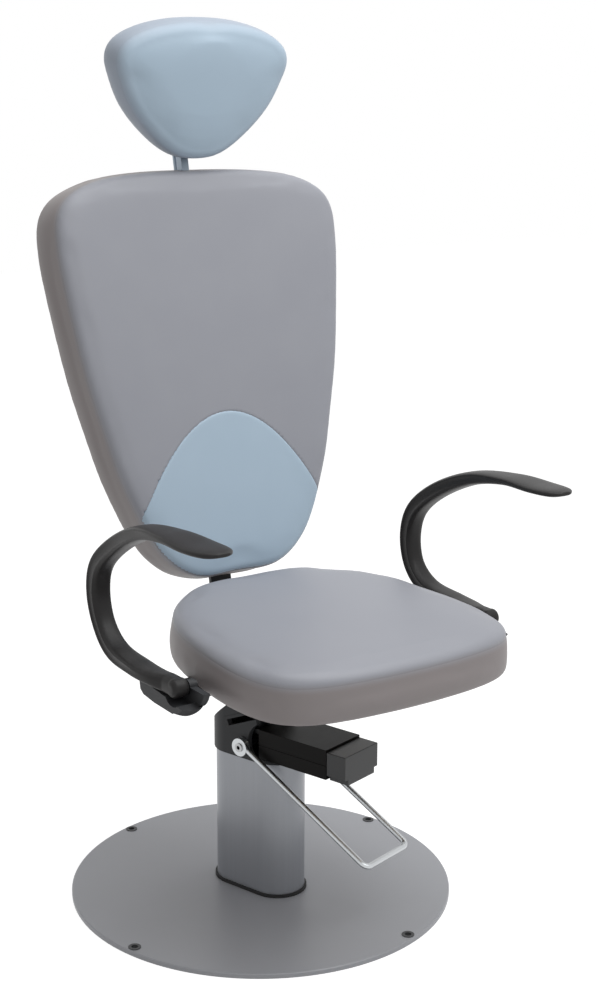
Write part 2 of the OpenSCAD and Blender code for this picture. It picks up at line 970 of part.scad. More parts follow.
module thrust_washer() {
    color("goldenrod")
        translate([0, 0, bearing_top])
            difference() {
                cylinder(d = washer_d, h = washer_t - fit);
                translate([0, 0, -over])
                    cylinder(d = swivel_d + 2 * run, h = washer_t + 2 * over);
            }
}

// Height of the seat frame's underside, where the back bar lies, above the swivel axis
hub_seat_z = seat_under_z + seat_fwd * sin(seat_pitch);
hub_top = hub_seat_z - (frame_t + bar_t + fit) / cos(seat_pitch);

module swivel_shaft() {
    color("silver") {
        translate([0, 0, brake_disc_z])
            cylinder(d = brake_disc_d, h = brake_disc_t);
        translate([0, 0, brake_disc_z])
            cylinder(d = swivel_d, h = hub_top - hub_flange_t / 2 - brake_disc_z);
    }
}

module at_hub_screws() {
    for (i = [0 : 3])
        rotate([0, 0, 45 + i * 90])
            translate([hub_screw_circle_d / 2, 0, 0])
                children();
}

module at_seat_hub() at_seat() translate([0, seat_fwd * cos(seat_pitch), 0]) children();

module swivel_hub() {
    color("dimgray")
        difference() {
            union() {
                at_seat_hub()
                    translate([0, 0, -frame_t - bar_t - fit - hub_flange_t])
                        cylinder(d = hub_flange_d, h = hub_flange_t);
                translate([0, 0, bearing_top + washer_t])
                    cylinder(d = hub_boss_d, h = hub_top - hub_flange_t / 2 - bearing_top - washer_t);
            }
            translate([0, 0, bearing_top - over])
                cylinder(d = swivel_d, h = hub_top - hub_flange_t / 2 - bearing_top + over);
            at_seat_hub()
                at_hub_screws()
                    translate([0, 0, -frame_t - bar_t - hub_flange_t - over])
                        cylinder(d = hub_screw_d + 2 * fit, h = hub_flange_t + 2 * over);
        }
}

module hub_screws() {
    top = -frame_t / 4;
    under = -frame_t - bar_t - hub_flange_t - fit;
    color("silver")
        at_seat_hub()
            at_hub_screws() {
                translate([0, 0, under])
                    cylinder(d = hub_screw_d, h = top - under);
                translate([0, 0, under - hub_screw_head_t])
                    cylinder(d = hub_screw_head_d, h = hub_screw_head_t);
            }
}

module at_seat_screws() {
    for (x = [-rail_x, rail_x])
        for (y = [-front_strip_y, seat_depth / 4])
            translate([x, y, 0])
                children();
}

// Plate of the seat frame, w wide, whose front and rear edges are at two distances behind the
// seat's middle
module frame_strip(w, front, rear, z = -frame_t, t = frame_t) {
    translate([-w / 2, front, z])
        cube([w, rear - front, t]);
}

module seat_frame() {
    rear = seat_depth / 2 - frame_plate_rear;
    tongue_rear = seat_depth / 2 - frame_tongue_rear;
    hub_y = seat_fwd * cos(seat_pitch);
    front = strip_mid - strip_w / 2;
    color("dimgray")
        at_seat()
            difference() {
                union() {
                    frame_strip(2 * (cheek_x - fit), front, front + strip_w, -frame_t - bar_t, bar_t);
                    frame_strip(frame_plate_w, front, rear);
                    frame_strip(frame_tongue_w, front, tongue_rear);
                    frame_strip(frame_plate_w, -front_strip_y - front_strip_w / 2,
                                -front_strip_y + front_strip_w / 2);
                    for (side = [-1, 1])
                        translate([side * rail_x, 0, 0])
                            frame_strip(rail_w, -front_strip_y - front_strip_w / 2, rear,
                                        -frame_t - rail_h, rail_h + frame_t / 2);
                    frame_strip(hub_flange_d, hub_y - hub_flange_d / 2, tongue_rear,
                                -frame_t - bar_t, bar_t + frame_t / 2);
                }
                translate([0, 0, -bar_t])
                    frame_strip(bar_w + 2 * fit, hub_y - hub_flange_d / 2 - over, seat_depth,
                                -frame_t - over, bar_t + over);
                at_seat_screws()
                    translate([0, 0, -frame_t - rail_h - over])
                        cylinder(d = seat_screw_d + 2 * fit, h = frame_t + rail_h + 2 * over);
                translate([0, hub_y, -frame_t - rail_h])
                    at_hub_screws()
                        cylinder(d = hub_screw_d + 2 * fit, h = frame_t + rail_h + over);
                at_arm_screws()
                    arm_screw_space();
            }
}

// Distance from the middle of the chair to the seat side of each arm bracket
cheek_x = arm_x - hub_w / 2 - cheek_gap - cheek_t;

module at_arm_screws(sides = [-1, 1]) {
    for (side = sides)
        for (y = [-strip_w / 4, strip_w / 4])
            translate([side * (cheek_x - arm_screw_in), strip_mid + y, 0])
                children();
}

module arm_screw_space() {
    translate([0, 0, -frame_t - bar_t - over])
        cylinder(d = seat_screw_d + 2 * fit, h = frame_t + bar_t + 2 * over);
}

module board_screw_space() {
    translate([0, 0, -over])
        cylinder(d = seat_screw_d + 2 * fit, h = seat_screw_up + over + fit);
}

module seat_board() {
    color("burlywood")
        at_seat()
            difference() {
                board(seat_outline, board_inset + soft_gap, seat_board_t);
                at_seat_screws()
                    board_screw_space();
                at_arm_screws()
                    board_screw_space();
            }
}

module seat_screws() {
    color("silver")
        at_seat()
            at_seat_screws() {
                translate([0, 0, -frame_t - rail_h])
                    cylinder(d = seat_screw_d, h = frame_t + rail_h + seat_screw_up);
                translate([0, 0, -frame_t - rail_h - seat_screw_head_t])
                    cylinder(d = seat_screw_head_d, h = seat_screw_head_t);
            }
}

module seat_cushion() {
    color("darkgray")
        at_seat()
            difference() {
                pad(seat_outline, seat_w, seat_t, seat_roll, seat_crown);
                translate([0, 0, -over])
                    board(seat_outline, board_inset, seat_board_t + over + soft_gap);
            }
}

// Points of a flat bar's side outline, from under the seat, round one bend and up the backrest.
// Each is [distance back, height], with the bar's two faces at half its thickness each side.
function turn(p, a) = [p.x * cos(a) - p.y * sin(a), p.x * sin(a) + p.y * cos(a)];

bar_start = [-seat_fwd, seat_under_z]
            + turn([seat_fwd - hub_flange_d / 2 - bar_w / 2, -frame_t - bar_t / 2], seat_pitch);
bar_foot_dir = turn([1, 0], seat_pitch);
bar_back_dir = [sin(back_tilt), cos(back_tilt)];
bar_back_point = [back_behind, back_z] + bar_mid_z * [-cos(back_tilt), sin(back_tilt)];
bar_end = bar_back_point - (back_l / 2 - bar_reach) * bar_back_dir;

function cross2(a, b) = a.x * b.y - a.y * b.x;

bar_corner = bar_start + bar_foot_dir
             * (cross2(bar_back_point - bar_start, bar_back_dir) / cross2(bar_foot_dir, bar_back_dir));
bar_turn = 90 - back_tilt - seat_pitch;
bar_setback = bar_bend_r * tan(bar_turn / 2);
bar_bend_mid = bar_corner - bar_setback * bar_foot_dir + bar_bend_r * turn([0, 1], seat_pitch);

function bar_edge(off) = concat(
    [bar_start + off * turn([0, -1], seat_pitch)],
    [for (k = [0 : bend_steps])
        bar_bend_mid + (bar_bend_r + off) * turn([0, -1], seat_pitch + bar_turn * k / bend_steps)],
    [bar_end + off * turn([0, -1], 90 - back_tilt)]);

module back_bar() {
    outer = bar_edge(bar_t / 2);
    inner = bar_edge(-bar_t / 2);
    count = len(inner);
    color("dimgray")
        difference() {
            rotate([90, 0, 90])
                translate([0, 0, -bar_w / 2])
                    linear_extrude(bar_w)
                        polygon(concat(outer, [for (i = [count - 1 : -1 : 0]) inner[i]]));
            at_back()
                at_back_screws()
                    back_screw_space();
        }
}

module at_back_screws() {
    for (y = [-back_screw_y, back_screw_y])
        translate([0, -back_l / 2 + mount_from_end + mount_l / 2 + y, 0])
            children();
}

module back_screw_space() {
    translate([0, 0, bar_z - over])
        cylinder(d = back_screw_d + 2 * fit, h = back_board_z + back_board_t - bar_z + over);
}

module back_mount() {
    color("gray")
        at_back()
            difference() {
                translate([-mount_w / 2, -back_l / 2 + mount_from_end, bar_z + bar_t + fit])
                    cube([mount_w, mount_l, back_board_z - bar_z - bar_t - 2 * fit]);
                at_back_screws()
                    back_screw_space();
            }
}

module back_screws() {
    color("silver")
        at_back()
            at_back_screws()
                translate([0, 0, bar_z]) {
                    cylinder(d = back_screw_d, h = back_board_z + back_board_t / 2 - bar_z);
                    translate([0, 0, -back_screw_head_t])
                        cylinder(d = back_screw_head_d, h = back_screw_head_t);
                }
}

module back_board() {
    color("burlywood")
        at_back()
            translate([0, 0, back_board_z])
                difference() {
                    board(back_outline, rim_w + soft_gap, back_board_t);
                    translate([0, 0, -back_board_z]) {
                        at_back_screws()
                            back_screw_space();
                        at_guide_screws()
                            guide_screw_space();
                    }
                }
}

module back_pad() {
    pad(back_outline, back_w, back_t, back_roll, back_crown, back_wing);
}

// Region of the front face inside the lumbar panel: below a parabola and inside the edge roll
module lumbar_region(gap) {
    tip = lumbar_h - back_l / 2;
    half = back_w / 2;
    translate([0, 0, back_t - lumbar_depth])
        linear_extrude(lumbar_depth + back_crown + back_wing + over)
            intersection() {
                polygon(inset_outline(back_outline, lumbar_edge + gap));
                polygon(concat(
                    [for (k = [-lumbar_arc_steps : lumbar_arc_steps])
                        let (s = k / lumbar_arc_steps)
                            [s * half, tip - gap - lumbar_fall * s * s]],
                    [[half, -back_l], [-half, -back_l]]));
            }
}

module back_cushion() {
    color("darkgray")
        at_back()
            difference() {
                back_pad();
                translate([0, 0, -over])
                    board(back_outline, rim_w, back_board_z + back_board_t + soft_gap + over);
                lumbar_region(0);
                translate([-bar_w / 2 - slot_play, -back_l / 2 - rim_w, bar_z - slot_play])
                    cube([bar_w + 2 * slot_play, 4 * rim_w, bar_t + 2 * slot_play]);
                translate([-post_w / 2 - slot_play, back_l / 2 - 2 * rim_w,
                           post_z - post_w / 2 - slot_play])
                    cube([post_w + 2 * slot_play, 3 * rim_w, post_w + 2 * slot_play]);
                translate([-rod_d / 2 - slot_play, back_l / 2 - 2 * rim_w,
                           rod_z - rod_d / 2 - slot_play])
                    cube([rod_d + 2 * slot_play, 3 * rim_w, rod_d + 2 * slot_play]);
            }
}

module lumbar_panel() {
    color("lightsteelblue")
        at_back()
            intersection() {
                back_pad();
                lumbar_region(lumbar_gap);
            }
}

module back_shell() {
    points = inset_outline(back_outline, rim_w + soft_gap);
    color("dimgray")
        at_back()
            pad(points, back_w, shell_t, shell_t / 4, 0, back_wing, shell_t / 4, 0);
}

module at_guide_screws() {
    for (x = [-guide_screw_x, guide_screw_x])
        for (y = [-guide_screw_y, guide_screw_y])
            translate([x, back_l / 2 - guide_drop - guide_l / 2 + y, 0])
                children();
}

module guide_screw_space() {
    translate([0, 0, shell_t])
        cylinder(d = guide_screw_d + 2 * fit, h = back_t - back_foam - back_board_t / 4 - shell_t);
}

module headrest_guide() {
    rear = rod_z - rod_d / 2 - guide_wall;
    color("dimgray")
        at_back()
            difference() {
                translate([-guide_w / 2, back_l / 2 - guide_drop - guide_l, rear])
                    cube([guide_w, guide_l, back_board_z - rear - fit]);
                translate([-post_w / 2 - run, back_l / 2 - guide_drop - guide_l - over,
                           post_z - post_w / 2 - run])
                    cube([post_w + 2 * run, guide_l + 2 * over, post_w + 2 * run]);
                translate([0, back_l / 2 - guide_drop + over, rod_z])
                    rotate([90, 0, 0])
                        cylinder(d = rod_d + 2 * run, h = guide_l + 2 * over);
                at_guide_screws()
                    guide_screw_space();
            }
}

module guide_screws() {
    color("silver")
        at_back()
            at_guide_screws()
                translate([0, 0, back_board_z / 2])
                    cylinder(d = guide_screw_d, h = back_board_z / 2 + back_board_t / 2);
}

stem_bottom = back_l / 2 - guide_drop - guide_l - headrest_travel / 8;
stem_top = back_l / 2 + hinge_up;

module headrest_post() {
    color("silver")
        at_back()
            difference() {
                translate([-post_w / 2, stem_bottom, post_z - post_w / 2])
                    cube([post_w, stem_top - head_block_l / 2 - stem_bottom, post_w]);
                translate([0, stem_bottom - over, post_z])
                    rotate([-90, 0, 0])
                        cylinder(d = post_w - 2 * inner_wall / 2, h = post_in_guide);
            }
}

module headrest_rod() {
    color("silver")
        at_back()
            translate([0, stem_bottom, rod_z])
                rotate([-90, 0, 0])
                    cylinder(d = rod_d, h = stem_top - head_block_l / 2 - stem_bottom);
}

module hinge_block() {
    color("dimgray")
        at_headrest_hinge()
            difference() {
                union() {
                    translate([-head_block_w / 2, -head_block_l / 2, -head_block_rear])
                        cube([head_block_w, head_block_l / 2, head_block_rear]);
                    translate([-head_block_w / 2, -head_block_l / 2, 0])
                        cube([head_block_w, head_block_l / 2, head_block_front]);
                    cross_cylinder(2 * head_block_front, head_block_w);
                }
                cross_cylinder(pin_d + 2 * run, head_block_w + 2 * over);
            }
}

module hinge_pin() {
    color("silver")
        at_headrest_hinge()
            cross_cylinder(pin_d, head_block_w + 2 * (lug_play + lug_t) + 2 * fit);
}

module headrest_bracket() {
    color("dimgray")
        at_headrest() {
            translate([-lug_plate_w / 2, -headrest_hinge_y - lug_plate_l / 2, -lug_plate_t])
                cube([lug_plate_w, lug_plate_l, lug_plate_t]);
            for (side = [-1, 1])
                translate([side * (head_block_w / 2 + lug_play + lug_t / 2), -headrest_hinge_y, 0])
                    difference() {
                        union() {
                            translate([-lug_t / 2, -lug_r, -headrest_standoff])
                                cube([lug_t, 2 * lug_r, headrest_standoff]);
                            translate([0, 0, -headrest_standoff])
                                cross_cylinder(2 * lug_r, lug_t);
                        }
                        translate([0, 0, -headrest_standoff])
                            cross_cylinder(pin_d, lug_t + 2 * over);
                    }
        }
}

module headrest_board() {
    color("burlywood")
        at_headrest()
            board(headrest_outline, headrest_rim + soft_gap, headrest_board_t);
}

module headrest_cushion() {
    color("lightsteelblue")
        at_headrest()
            difference() {
                pad(headrest_outline, headrest_w, headrest_t, headrest_roll, headrest_crown);
                translate([0, 0, -over])
                    board(headrest_outline, headrest_rim, headrest_board_t + over + soft_gap);
            }
}

// Saddle under an arm, seen from the side: [distance back, height] from the arm's pivot.
// A round cup, fuller in its middle, holds the arm's hub, and a tail runs back under the arm.
saddle_top = -arm_t * arm_thick_shares[0] / 2 - saddle_gap;
saddle_w = cheek_t + cheek_gap + hub_w;

module saddle_below(level) {
    intersection() {
        children();
        translate([-2 * saddle_r, level - 2 * saddle_l])
            square([2 * saddle_l, 2 * saddle_l]);
    }
}

module saddle_tail() {
    polygon([[-saddle_fwd, saddle_up - saddle_r], [saddle_l / 2, saddle_up - saddle_r + over],
             [saddle_l - saddle_end, -saddle_rear_h], [saddle_l - saddle_end / 4, -saddle_rear_h * 0.8],
             [saddle_l, saddle_top + saddle_rise], [saddle_inner_r - saddle_fwd, saddle_top],
             [-saddle_fwd, saddle_top]]);
}

module saddle_cup(from, w) {
    side = open_curve([for (p = saddle_round_shares) [p.y * saddle_r, from + p.x * w]], 3);
    intersection() {
        translate([0, -saddle_fwd, saddle_up])
            rotate([0, 90, 0])
                rotate_extrude()
                    polygon(concat([[0, from]], side, [[0, from + w]]));
        translate([from - w, -2 * saddle_r, saddle_top - 2 * saddle_r])
            cube([3 * w, 4 * saddle_r, 2 * saddle_r]);
        translate([from - w, 0, saddle_top])
            rotate([saddle_dip, 0, 0])
                translate([0, -2 * saddle_r, -3 * saddle_r])
                    cube([3 * w, 4 * saddle_r, 3 * saddle_r]);
    }
}

module cheek_outline() {
    saddle_tail();
    saddle_below(saddle_top)
        translate([-saddle_fwd, saddle_up])
            circle(r = saddle_r * saddle_round_shares[0].y);
    saddle_below(0)
        translate([-cheek_fwd, cheek_up])
            circle(r = cheek_r);
    circle(r = saddle_lug_r);
}

module side_prism(from, w) {
    translate([from, 0, 0])
        rotate([90, 0, 90])
            linear_extrude(w)
                children();
}

module arm_bracket(side) {
    color("black")
        difference() {
            union() {
                at_arm(side)
                    scale([side, 1, 1]) {
                        side_prism(cheek_x - arm_x, cheek_t)
                            cheek_outline();
                        difference() {
                            union() {
                                side_prism(cheek_x - arm_x, saddle_w)
                                    saddle_tail();
                                saddle_cup(cheek_x - arm_x, saddle_w);
                            }
                            translate([cheek_x - arm_x + cheek_t + saddle_w, -saddle_fwd, saddle_up])
                                cross_cylinder(2 * saddle_inner_r, 2 * saddle_w);
                        }
                    }
                at_seat()
                    scale([side, 1, 1])
                        translate([cheek_x - arm_foot_l, strip_mid - strip_w / 2, -frame_t])
                            cube([arm_foot_l + over, strip_w, frame_t - fit]);
            }
            at_arm(side)
                cross_cylinder(arm_bolt_d, 3 * hub_w);
            at_seat()
                at_arm_screws([side])
                    arm_screw_space();
        }
}

module arm_bracket_left() arm_bracket(-1);

module arm_bracket_right() arm_bracket(1);

module arm_bolts() {
    reach = cheek_t + cheek_gap + hub_w - hub_cap_t - cheek_gap;
    color("dimgray")
        for (side = [-1, 1])
            at_arm(side)
                scale([side, 1, 1]) {
                    translate([cheek_x - arm_x + reach / 2, 0, 0])
                        cross_cylinder(arm_bolt_d, reach);
                    translate([cheek_x - arm_x - arm_bolt_head_t / 2, 0, 0])
                        cross_cylinder(arm_bolt_head_d, arm_bolt_head_t);
                }
}

// Corners of an arm's section: w across and t high, from round at square = 2 to boxy
function arm_section(w, t, square) = [
    for (k = [0 : arm_sides - 1])
        let (a = (k + 0.5) * 360 / arm_sides)
            [sign(cos(a)) * pow(abs(cos(a)), 2 / square) * w / 2,
             sign(sin(a)) * pow(abs(sin(a)), 2 / square) * t / 2]
];

module arm_hub(side) {
    section = arm_section(hub_w, arm_t * arm_thick_shares[0], arm_square_shares[0]);
    edge = [for (a = [0 : 30 : 90])
        [hub_r - hub_edge_r * (1 - cos(a)), hub_w / 2 - hub_edge_r * (1 - sin(a))]];
    profile = concat([[0, -hub_w / 2]], [for (k = [len(edge) - 1 : -1 : 0]) [edge[k].x, -edge[k].y]],
                     edge, [[0, hub_w / 2]]);
    color("dimgray")
        at_arm(side)
            scale([side, 1, 1])
                difference() {
                    union() {
                        rotate([0, 90, 0])
                            rotate_extrude()
                                polygon(profile);
                        rotate([90, 0, 0])
                            translate([0, 0, -hub_tail])
                                linear_extrude(hub_tail)
                                    polygon(section);
                    }
                    translate([-hub_cap_t, 0, 0])
                        cross_cylinder(arm_bolt_d + 2 * run, hub_w);
                }
}

module arm_hub_left() arm_hub(-1);

module arm_hub_right() arm_hub(1);

// Arm: rounded sections swept along the smooth path through arm_path_shares. Each section has
// its width across the chair and its thickness square to the path.
module arm(side) {
    path = open_curve(concat([[hub_tail, 0]], [for (i = [1 : len(arm_path_shares) - 1])
        [arm_path_shares[i].x * arm_depth, arm_path_shares[i].y * arm_rise]]), arm_steps);
    leans = open_curve(side * arm_lean * arm_lean_shares, arm_steps);
    widths = open_curve(concat([hub_w], [for (i = [1 : len(arm_width_shares) - 1])
        arm_pad_w * arm_width_shares[i]]), arm_steps);
    thicks = open_curve(arm_t * arm_thick_shares, arm_steps);
    squares = open_curve(arm_square_shares, arm_steps);
    last = len(path) - 1;
    vertices = [
        for (i = [0 : last])
            let (along = path[min(i + 1, last)] - path[max(i - 1, 0)],
                 across = i == 0 ? [0, 1] : [-along.y, along.x] / norm(along))
                for (p = arm_section(widths[i], thicks[i], squares[i]))
                    [p.x + leans[i], path[i].x + p.y * across.x, path[i].y + p.y * across.y]
    ];
    walls = [
        for (i = [0 : last - 1])
            for (k = [0 : arm_sides - 1])
                let (a = i * arm_sides + k, b = i * arm_sides + (k + 1) % arm_sides)
                    each [[a, b, b + arm_sides], [a, b + arm_sides, a + arm_sides]]
    ];
    ends = [[for (k = [arm_sides - 1 : -1 : 0]) k],
            [for (k = [0 : arm_sides - 1]) last * arm_sides + k]];
    color("black")
        at_arm(side)
            polyhedron(points = vertices, faces = concat(walls, ends), convexity = 6);
}

module arm_left() arm(-1);

module arm_right() arm(1);

module arm_screws() {
    color("silver")
        at_seat()
            at_arm_screws() {
                translate([0, 0, -frame_t - bar_t])
                    cylinder(d = seat_screw_d, h = bar_t + frame_t + seat_screw_up);
                translate([0, 0, -frame_t - bar_t - seat_screw_head_t])
                    cylinder(d = seat_screw_head_d, h = seat_screw_head_t);
            }
}

floor_plate();
hole_bushes();
foot_gasket();
column_foot();
foot_screws();
outer_column();
outer_glide();
inner_column();
inner_glide();
spindle_tube();
spindle_nut();
lift_spindle();
head_plate();
column_head();
lift_gearbox();
lift_motor();
motor_housing();
housing_end_cap();
bail_bushes();
bail_shaft();
brake_cam();
foot_bail();
bail_end_screws();
bearing_housing();
swivel_screws();
lower_bearing();
upper_bearing();
thrust_washer();
swivel_shaft();
swivel_hub();
hub_screws();
seat_frame();
seat_board();
seat_screws();
seat_cushion();
back_bar();
back_mount();
back_screws();
back_board();
back_cushion();
lumbar_panel();
back_shell();
headrest_guide();
guide_screws();
headrest_post();
headrest_rod();
hinge_block();
hinge_pin();
headrest_bracket();
headrest_board();
headrest_cushion();
arm_bracket_left();
arm_bracket_right();
arm_bolts();
arm_hub_left();
arm_hub_right();
arm_left();
arm_right();
arm_screws();
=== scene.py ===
import math

import bpy
import numpy as np
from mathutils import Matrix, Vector
from mathutils.bvhtree import BVHTree


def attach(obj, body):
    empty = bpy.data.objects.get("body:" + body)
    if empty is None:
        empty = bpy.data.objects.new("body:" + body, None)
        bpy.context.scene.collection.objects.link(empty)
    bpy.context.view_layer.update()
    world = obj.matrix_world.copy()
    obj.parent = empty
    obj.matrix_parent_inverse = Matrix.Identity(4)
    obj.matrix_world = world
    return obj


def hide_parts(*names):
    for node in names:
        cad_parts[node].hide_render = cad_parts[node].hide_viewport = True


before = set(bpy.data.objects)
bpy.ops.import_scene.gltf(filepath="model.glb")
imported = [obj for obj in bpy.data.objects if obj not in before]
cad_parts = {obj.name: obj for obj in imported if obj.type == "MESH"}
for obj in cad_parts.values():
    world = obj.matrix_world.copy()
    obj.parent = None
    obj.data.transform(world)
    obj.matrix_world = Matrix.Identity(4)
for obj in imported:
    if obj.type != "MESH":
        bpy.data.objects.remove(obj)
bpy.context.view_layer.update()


# BASE PLATE
# A round 8 mm steel plate that the chair stands on, flame-cut, turned to a bevel at its rim
# and powder coated silver-grey. Powder dries with a faint orange peel and a satin surface.

def linear(code):
    """A colour written as sRGB hex, in the linear values that a shader takes."""
    shares = [c / 255 for c in bytes.fromhex(code)]
    values = [s / 12.92 if s <= 0.04045 else ((s + 0.055) / 1.055) ** 2.4 for s in shares]
    return (*values, 1.0)


def add(tree, kind, sockets=None, **settings):
    """A node in the tree with these settings, its sockets filled by values or by links."""
    node = tree.nodes.new(kind)
    for name, value in settings.items():
        setattr(node, name, value)
    for name, value in (sockets or {}).items():
        if isinstance(value, bpy.types.NodeSocket):
            tree.links.new(value, node.inputs[name])
        else:
            node.inputs[name].default_value = value
    return node


def start_finish(name, **uniform):
    """A new material: its tree, its surface shader and the place of a point in metres. A
    pattern's scale is 1 over its real size in metres."""
    material = bpy.data.materials.new(name)
    material.use_nodes = True
    tree = material.node_tree
    tree.nodes.clear()
    surface = add(tree, "ShaderNodeBsdfPrincipled",
                  {key.replace("_", " "): value for key, value in uniform.items()})
    add(tree, "ShaderNodeOutputMaterial", {"Surface": surface.outputs[0]})
    place = add(tree, "ShaderNodeTexCoord").outputs["Object"]
    return material, tree, surface, place


def two_tones(tree, surface, share, dark, light):
    """Colour of the surface between two tones, by a share from 0 to 1 that varies over it."""
    tones = add(tree, "ShaderNodeMix", {0: share, 6: linear(dark), 7: linear(light)},
                data_type="RGBA")
    tree.links.new(tones.outputs[2], surface.inputs["Base Color"])


def dress(material, *names):
    """The CAD nodes of these names take this material."""
    for name in names:
        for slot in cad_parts[name].material_slots:
            slot.material = material


one_corner = 0.00001              # points this close, in metres, are one corner
one_face = math.radians(0.1)      # faces that differ by less are one flat face
sharp_edge = math.radians(32)     # edges that turn by more are broken


def break_edges(width, *names):
    """Sharp edges of these CAD nodes are broken by a small round, as on any coated part."""
    for name in names:
        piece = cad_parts[name]
        weld = piece.modifiers.new("weld", "WELD")
        weld.merge_threshold = one_corner
        flat = piece.modifiers.new("flat faces", "DECIMATE")
        flat.decimate_type = "DISSOLVE"
        flat.angle_limit = one_face
        bevel = piece.modifiers.new("broken edges", "BEVEL")
        bevel.width = width
        bevel.segments = 3
        bevel.limit_method = "ANGLE"
        bevel.angle_limit = sharp_edge
        shade = piece.modifiers.new("shading", "WEIGHTED_NORMAL")
        shade.weight = 80


# Polyester powder on steel: satin, with an orange peel about 1.5 mm across.
silver_powder, tree, surface, place = start_finish("silver_powder_coat", IOR=1.5)
drift = add(tree, "ShaderNodeTexNoise", {"Vector": place, "Scale": 1 / 0.12, "Detail": 3.0})
two_tones(tree, surface, drift.outputs[0], "a5a7ac", "adafb4")
satin = add(tree, "ShaderNodeMapRange",
            {"Value": drift.outputs[0], "To Min": 0.36, "To Max": 0.44})
tree.links.new(satin.outputs[0], surface.inputs["Roughness"])
peel = add(tree, "ShaderNodeTexNoise", {"Vector": place, "Scale": 1 / 0.0015, "Detail": 1.0})
bump = add(tree, "ShaderNodeBump",
           {"Height": peel.outputs[0], "Strength": 0.12, "Distance": 0.0001})
tree.links.new(bump.outputs[0], surface.inputs["Normal"])

dress(silver_powder, "floor_plate")


# FLOOR BUSHES, FOOT PLATE AND GASKET
# Four moulded nylon bushes line the floor bolt holes. The column's oval foot plate is screwed
# up from below, and a black EPDM gasket runs round the column where it meets the plate.

# Nylon: matt, mould grain about 0.6 mm.
black_nylon, tree, surface, place = start_finish("black_nylon", IOR=1.53)
grain = add(tree, "ShaderNodeTexNoise", {"Vector": place, "Scale": 1 / 0.0006, "Detail": 2.0})
two_tones(tree, surface, grain.outputs[0], "2a2b2d", "343537")
surface.inputs["Roughness"].default_value = 0.5
bump = add(tree, "ShaderNodeBump",
           {"Height": grain.outputs[0], "Strength": 0.15, "Distance": 0.0001})
tree.links.new(bump.outputs[0], surface.inputs["Normal"])

# EPDM rubber: dull black with a slight bloom in patches 8 mm across.
black_rubber, tree, surface, place = start_finish("black_rubber", IOR=1.5)
bloom = add(tree, "ShaderNodeTexNoise", {"Vector": place, "Scale": 1 / 0.008, "Detail": 3.0})
two_tones(tree, surface, bloom.outputs[0], "101011", "19191a")
surface.inputs["Roughness"].default_value = 0.7

# Machined steel: fine turning marks 0.8 mm apart, drawn across the part.
machined_steel, tree, surface, place = start_finish("machined_steel", Metallic=1.0)
marks = add(tree, "ShaderNodeTexNoise", {"Vector": place, "Scale": 1 / 0.0008, "Detail": 2.0})
two_tones(tree, surface, marks.outputs[0], "a4a5a7", "b6b7b8")
cut = add(tree, "ShaderNodeMapRange", {"Value": marks.outputs[0], "To Min": 0.28, "To Max": 0.4})
tree.links.new(cut.outputs[0], surface.inputs["Roughness"])

dress(black_nylon, "hole_bushes", "bail_bushes")
dress(black_rubber, "foot_gasket")
dress(machined_steel, "column_foot", "foot_screws")


# LIFT COLUMN
# Two oval aluminium extrusions, one inside the other on acetal glides. The outer one is bead
# blasted and coated silver; the inner one is anodised and shows only when the seat is raised.

# Silver coat on the extrusion: like the plate's, with faint die lines 5 mm apart up its length.
column_coat, tree, surface, place = start_finish("silver_column_coat", IOR=1.5, Metallic=0.4)
run_up = add(tree, "ShaderNodeMapping", {"Vector": place, "Scale": (200.0, 200.0, 2.0)})
lines = add(tree, "ShaderNodeTexNoise",
            {"Vector": run_up.outputs[0], "Scale": 1.0, "Detail": 2.0})
two_tones(tree, surface, lines.outputs[0], "9c9fa4", "a3a6ac")
satin = add(tree, "ShaderNodeMapRange",
            {"Value": lines.outputs[0], "To Min": 0.3, "To Max": 0.38})
tree.links.new(satin.outputs[0], surface.inputs["Roughness"])
blast = add(tree, "ShaderNodeTexNoise", {"Vector": place, "Scale": 1 / 0.0008, "Detail": 1.0})
bump = add(tree, "ShaderNodeBump",
           {"Height": blast.outputs[0], "Strength": 0.1, "Distance": 0.0001})
tree.links.new(bump.outputs[0], surface.inputs["Normal"])

# Anodised aluminium: metallic, satin, drawn die lines 2 mm apart.
anodised, tree, surface, place = start_finish("anodised_aluminium", Metallic=1.0)
run_up = add(tree, "ShaderNodeMapping", {"Vector": place, "Scale": (500.0, 500.0, 3.0)})
lines = add(tree, "ShaderNodeTexNoise",
            {"Vector": run_up.outputs[0], "Scale": 1.0, "Detail": 2.0})
two_tones(tree, surface, lines.outputs[0], "b4b6b9", "c2c4c7")
satin = add(tree, "ShaderNodeMapRange",
            {"Value": lines.outputs[0], "To Min": 0.26, "To Max": 0.36})
tree.links.new(satin.outputs[0], surface.inputs["Roughness"])

# Acetal: milky and slightly waxy.
acetal, tree, surface, place = start_finish("natural_acetal", IOR=1.48)
cloud = add(tree, "ShaderNodeTexNoise", {"Vector": place, "Scale": 1 / 0.02, "Detail": 2.0})
two_tones(tree, surface, cloud.outputs[0], "d2d0c8", "dcdad3")
surface.inputs["Roughness"].default_value = 0.42

# Leaded brass: turned, warm, with a light tarnish in patches 6 mm across.
brass, tree, surface, place = start_finish("turned_brass", Metallic=1.0)
tarnish = add(tree, "ShaderNodeTexNoise", {"Vector": place, "Scale": 1 / 0.006, "Detail": 3.0})
two_tones(tree, surface, tarnish.outputs[0], "a8874c", "c2a15f")
surface.inputs["Roughness"].default_value = 0.35

dress(column_coat, "outer_column")
dress(anodised, "inner_column")
dress(acetal, "outer_glide", "inner_glide")
dress(machined_steel, "spindle_tube", "lift_spindle")
dress(brass, "spindle_nut")
break_edges(0.0006, "outer_column")


# COLUMN HEAD AND BEARING HOUSING
# A cast aluminium yoke caps the inner column and carries the bail's pivot; a turned housing
# on top of it holds the seat's two bearings. Both are coated in textured anthracite.

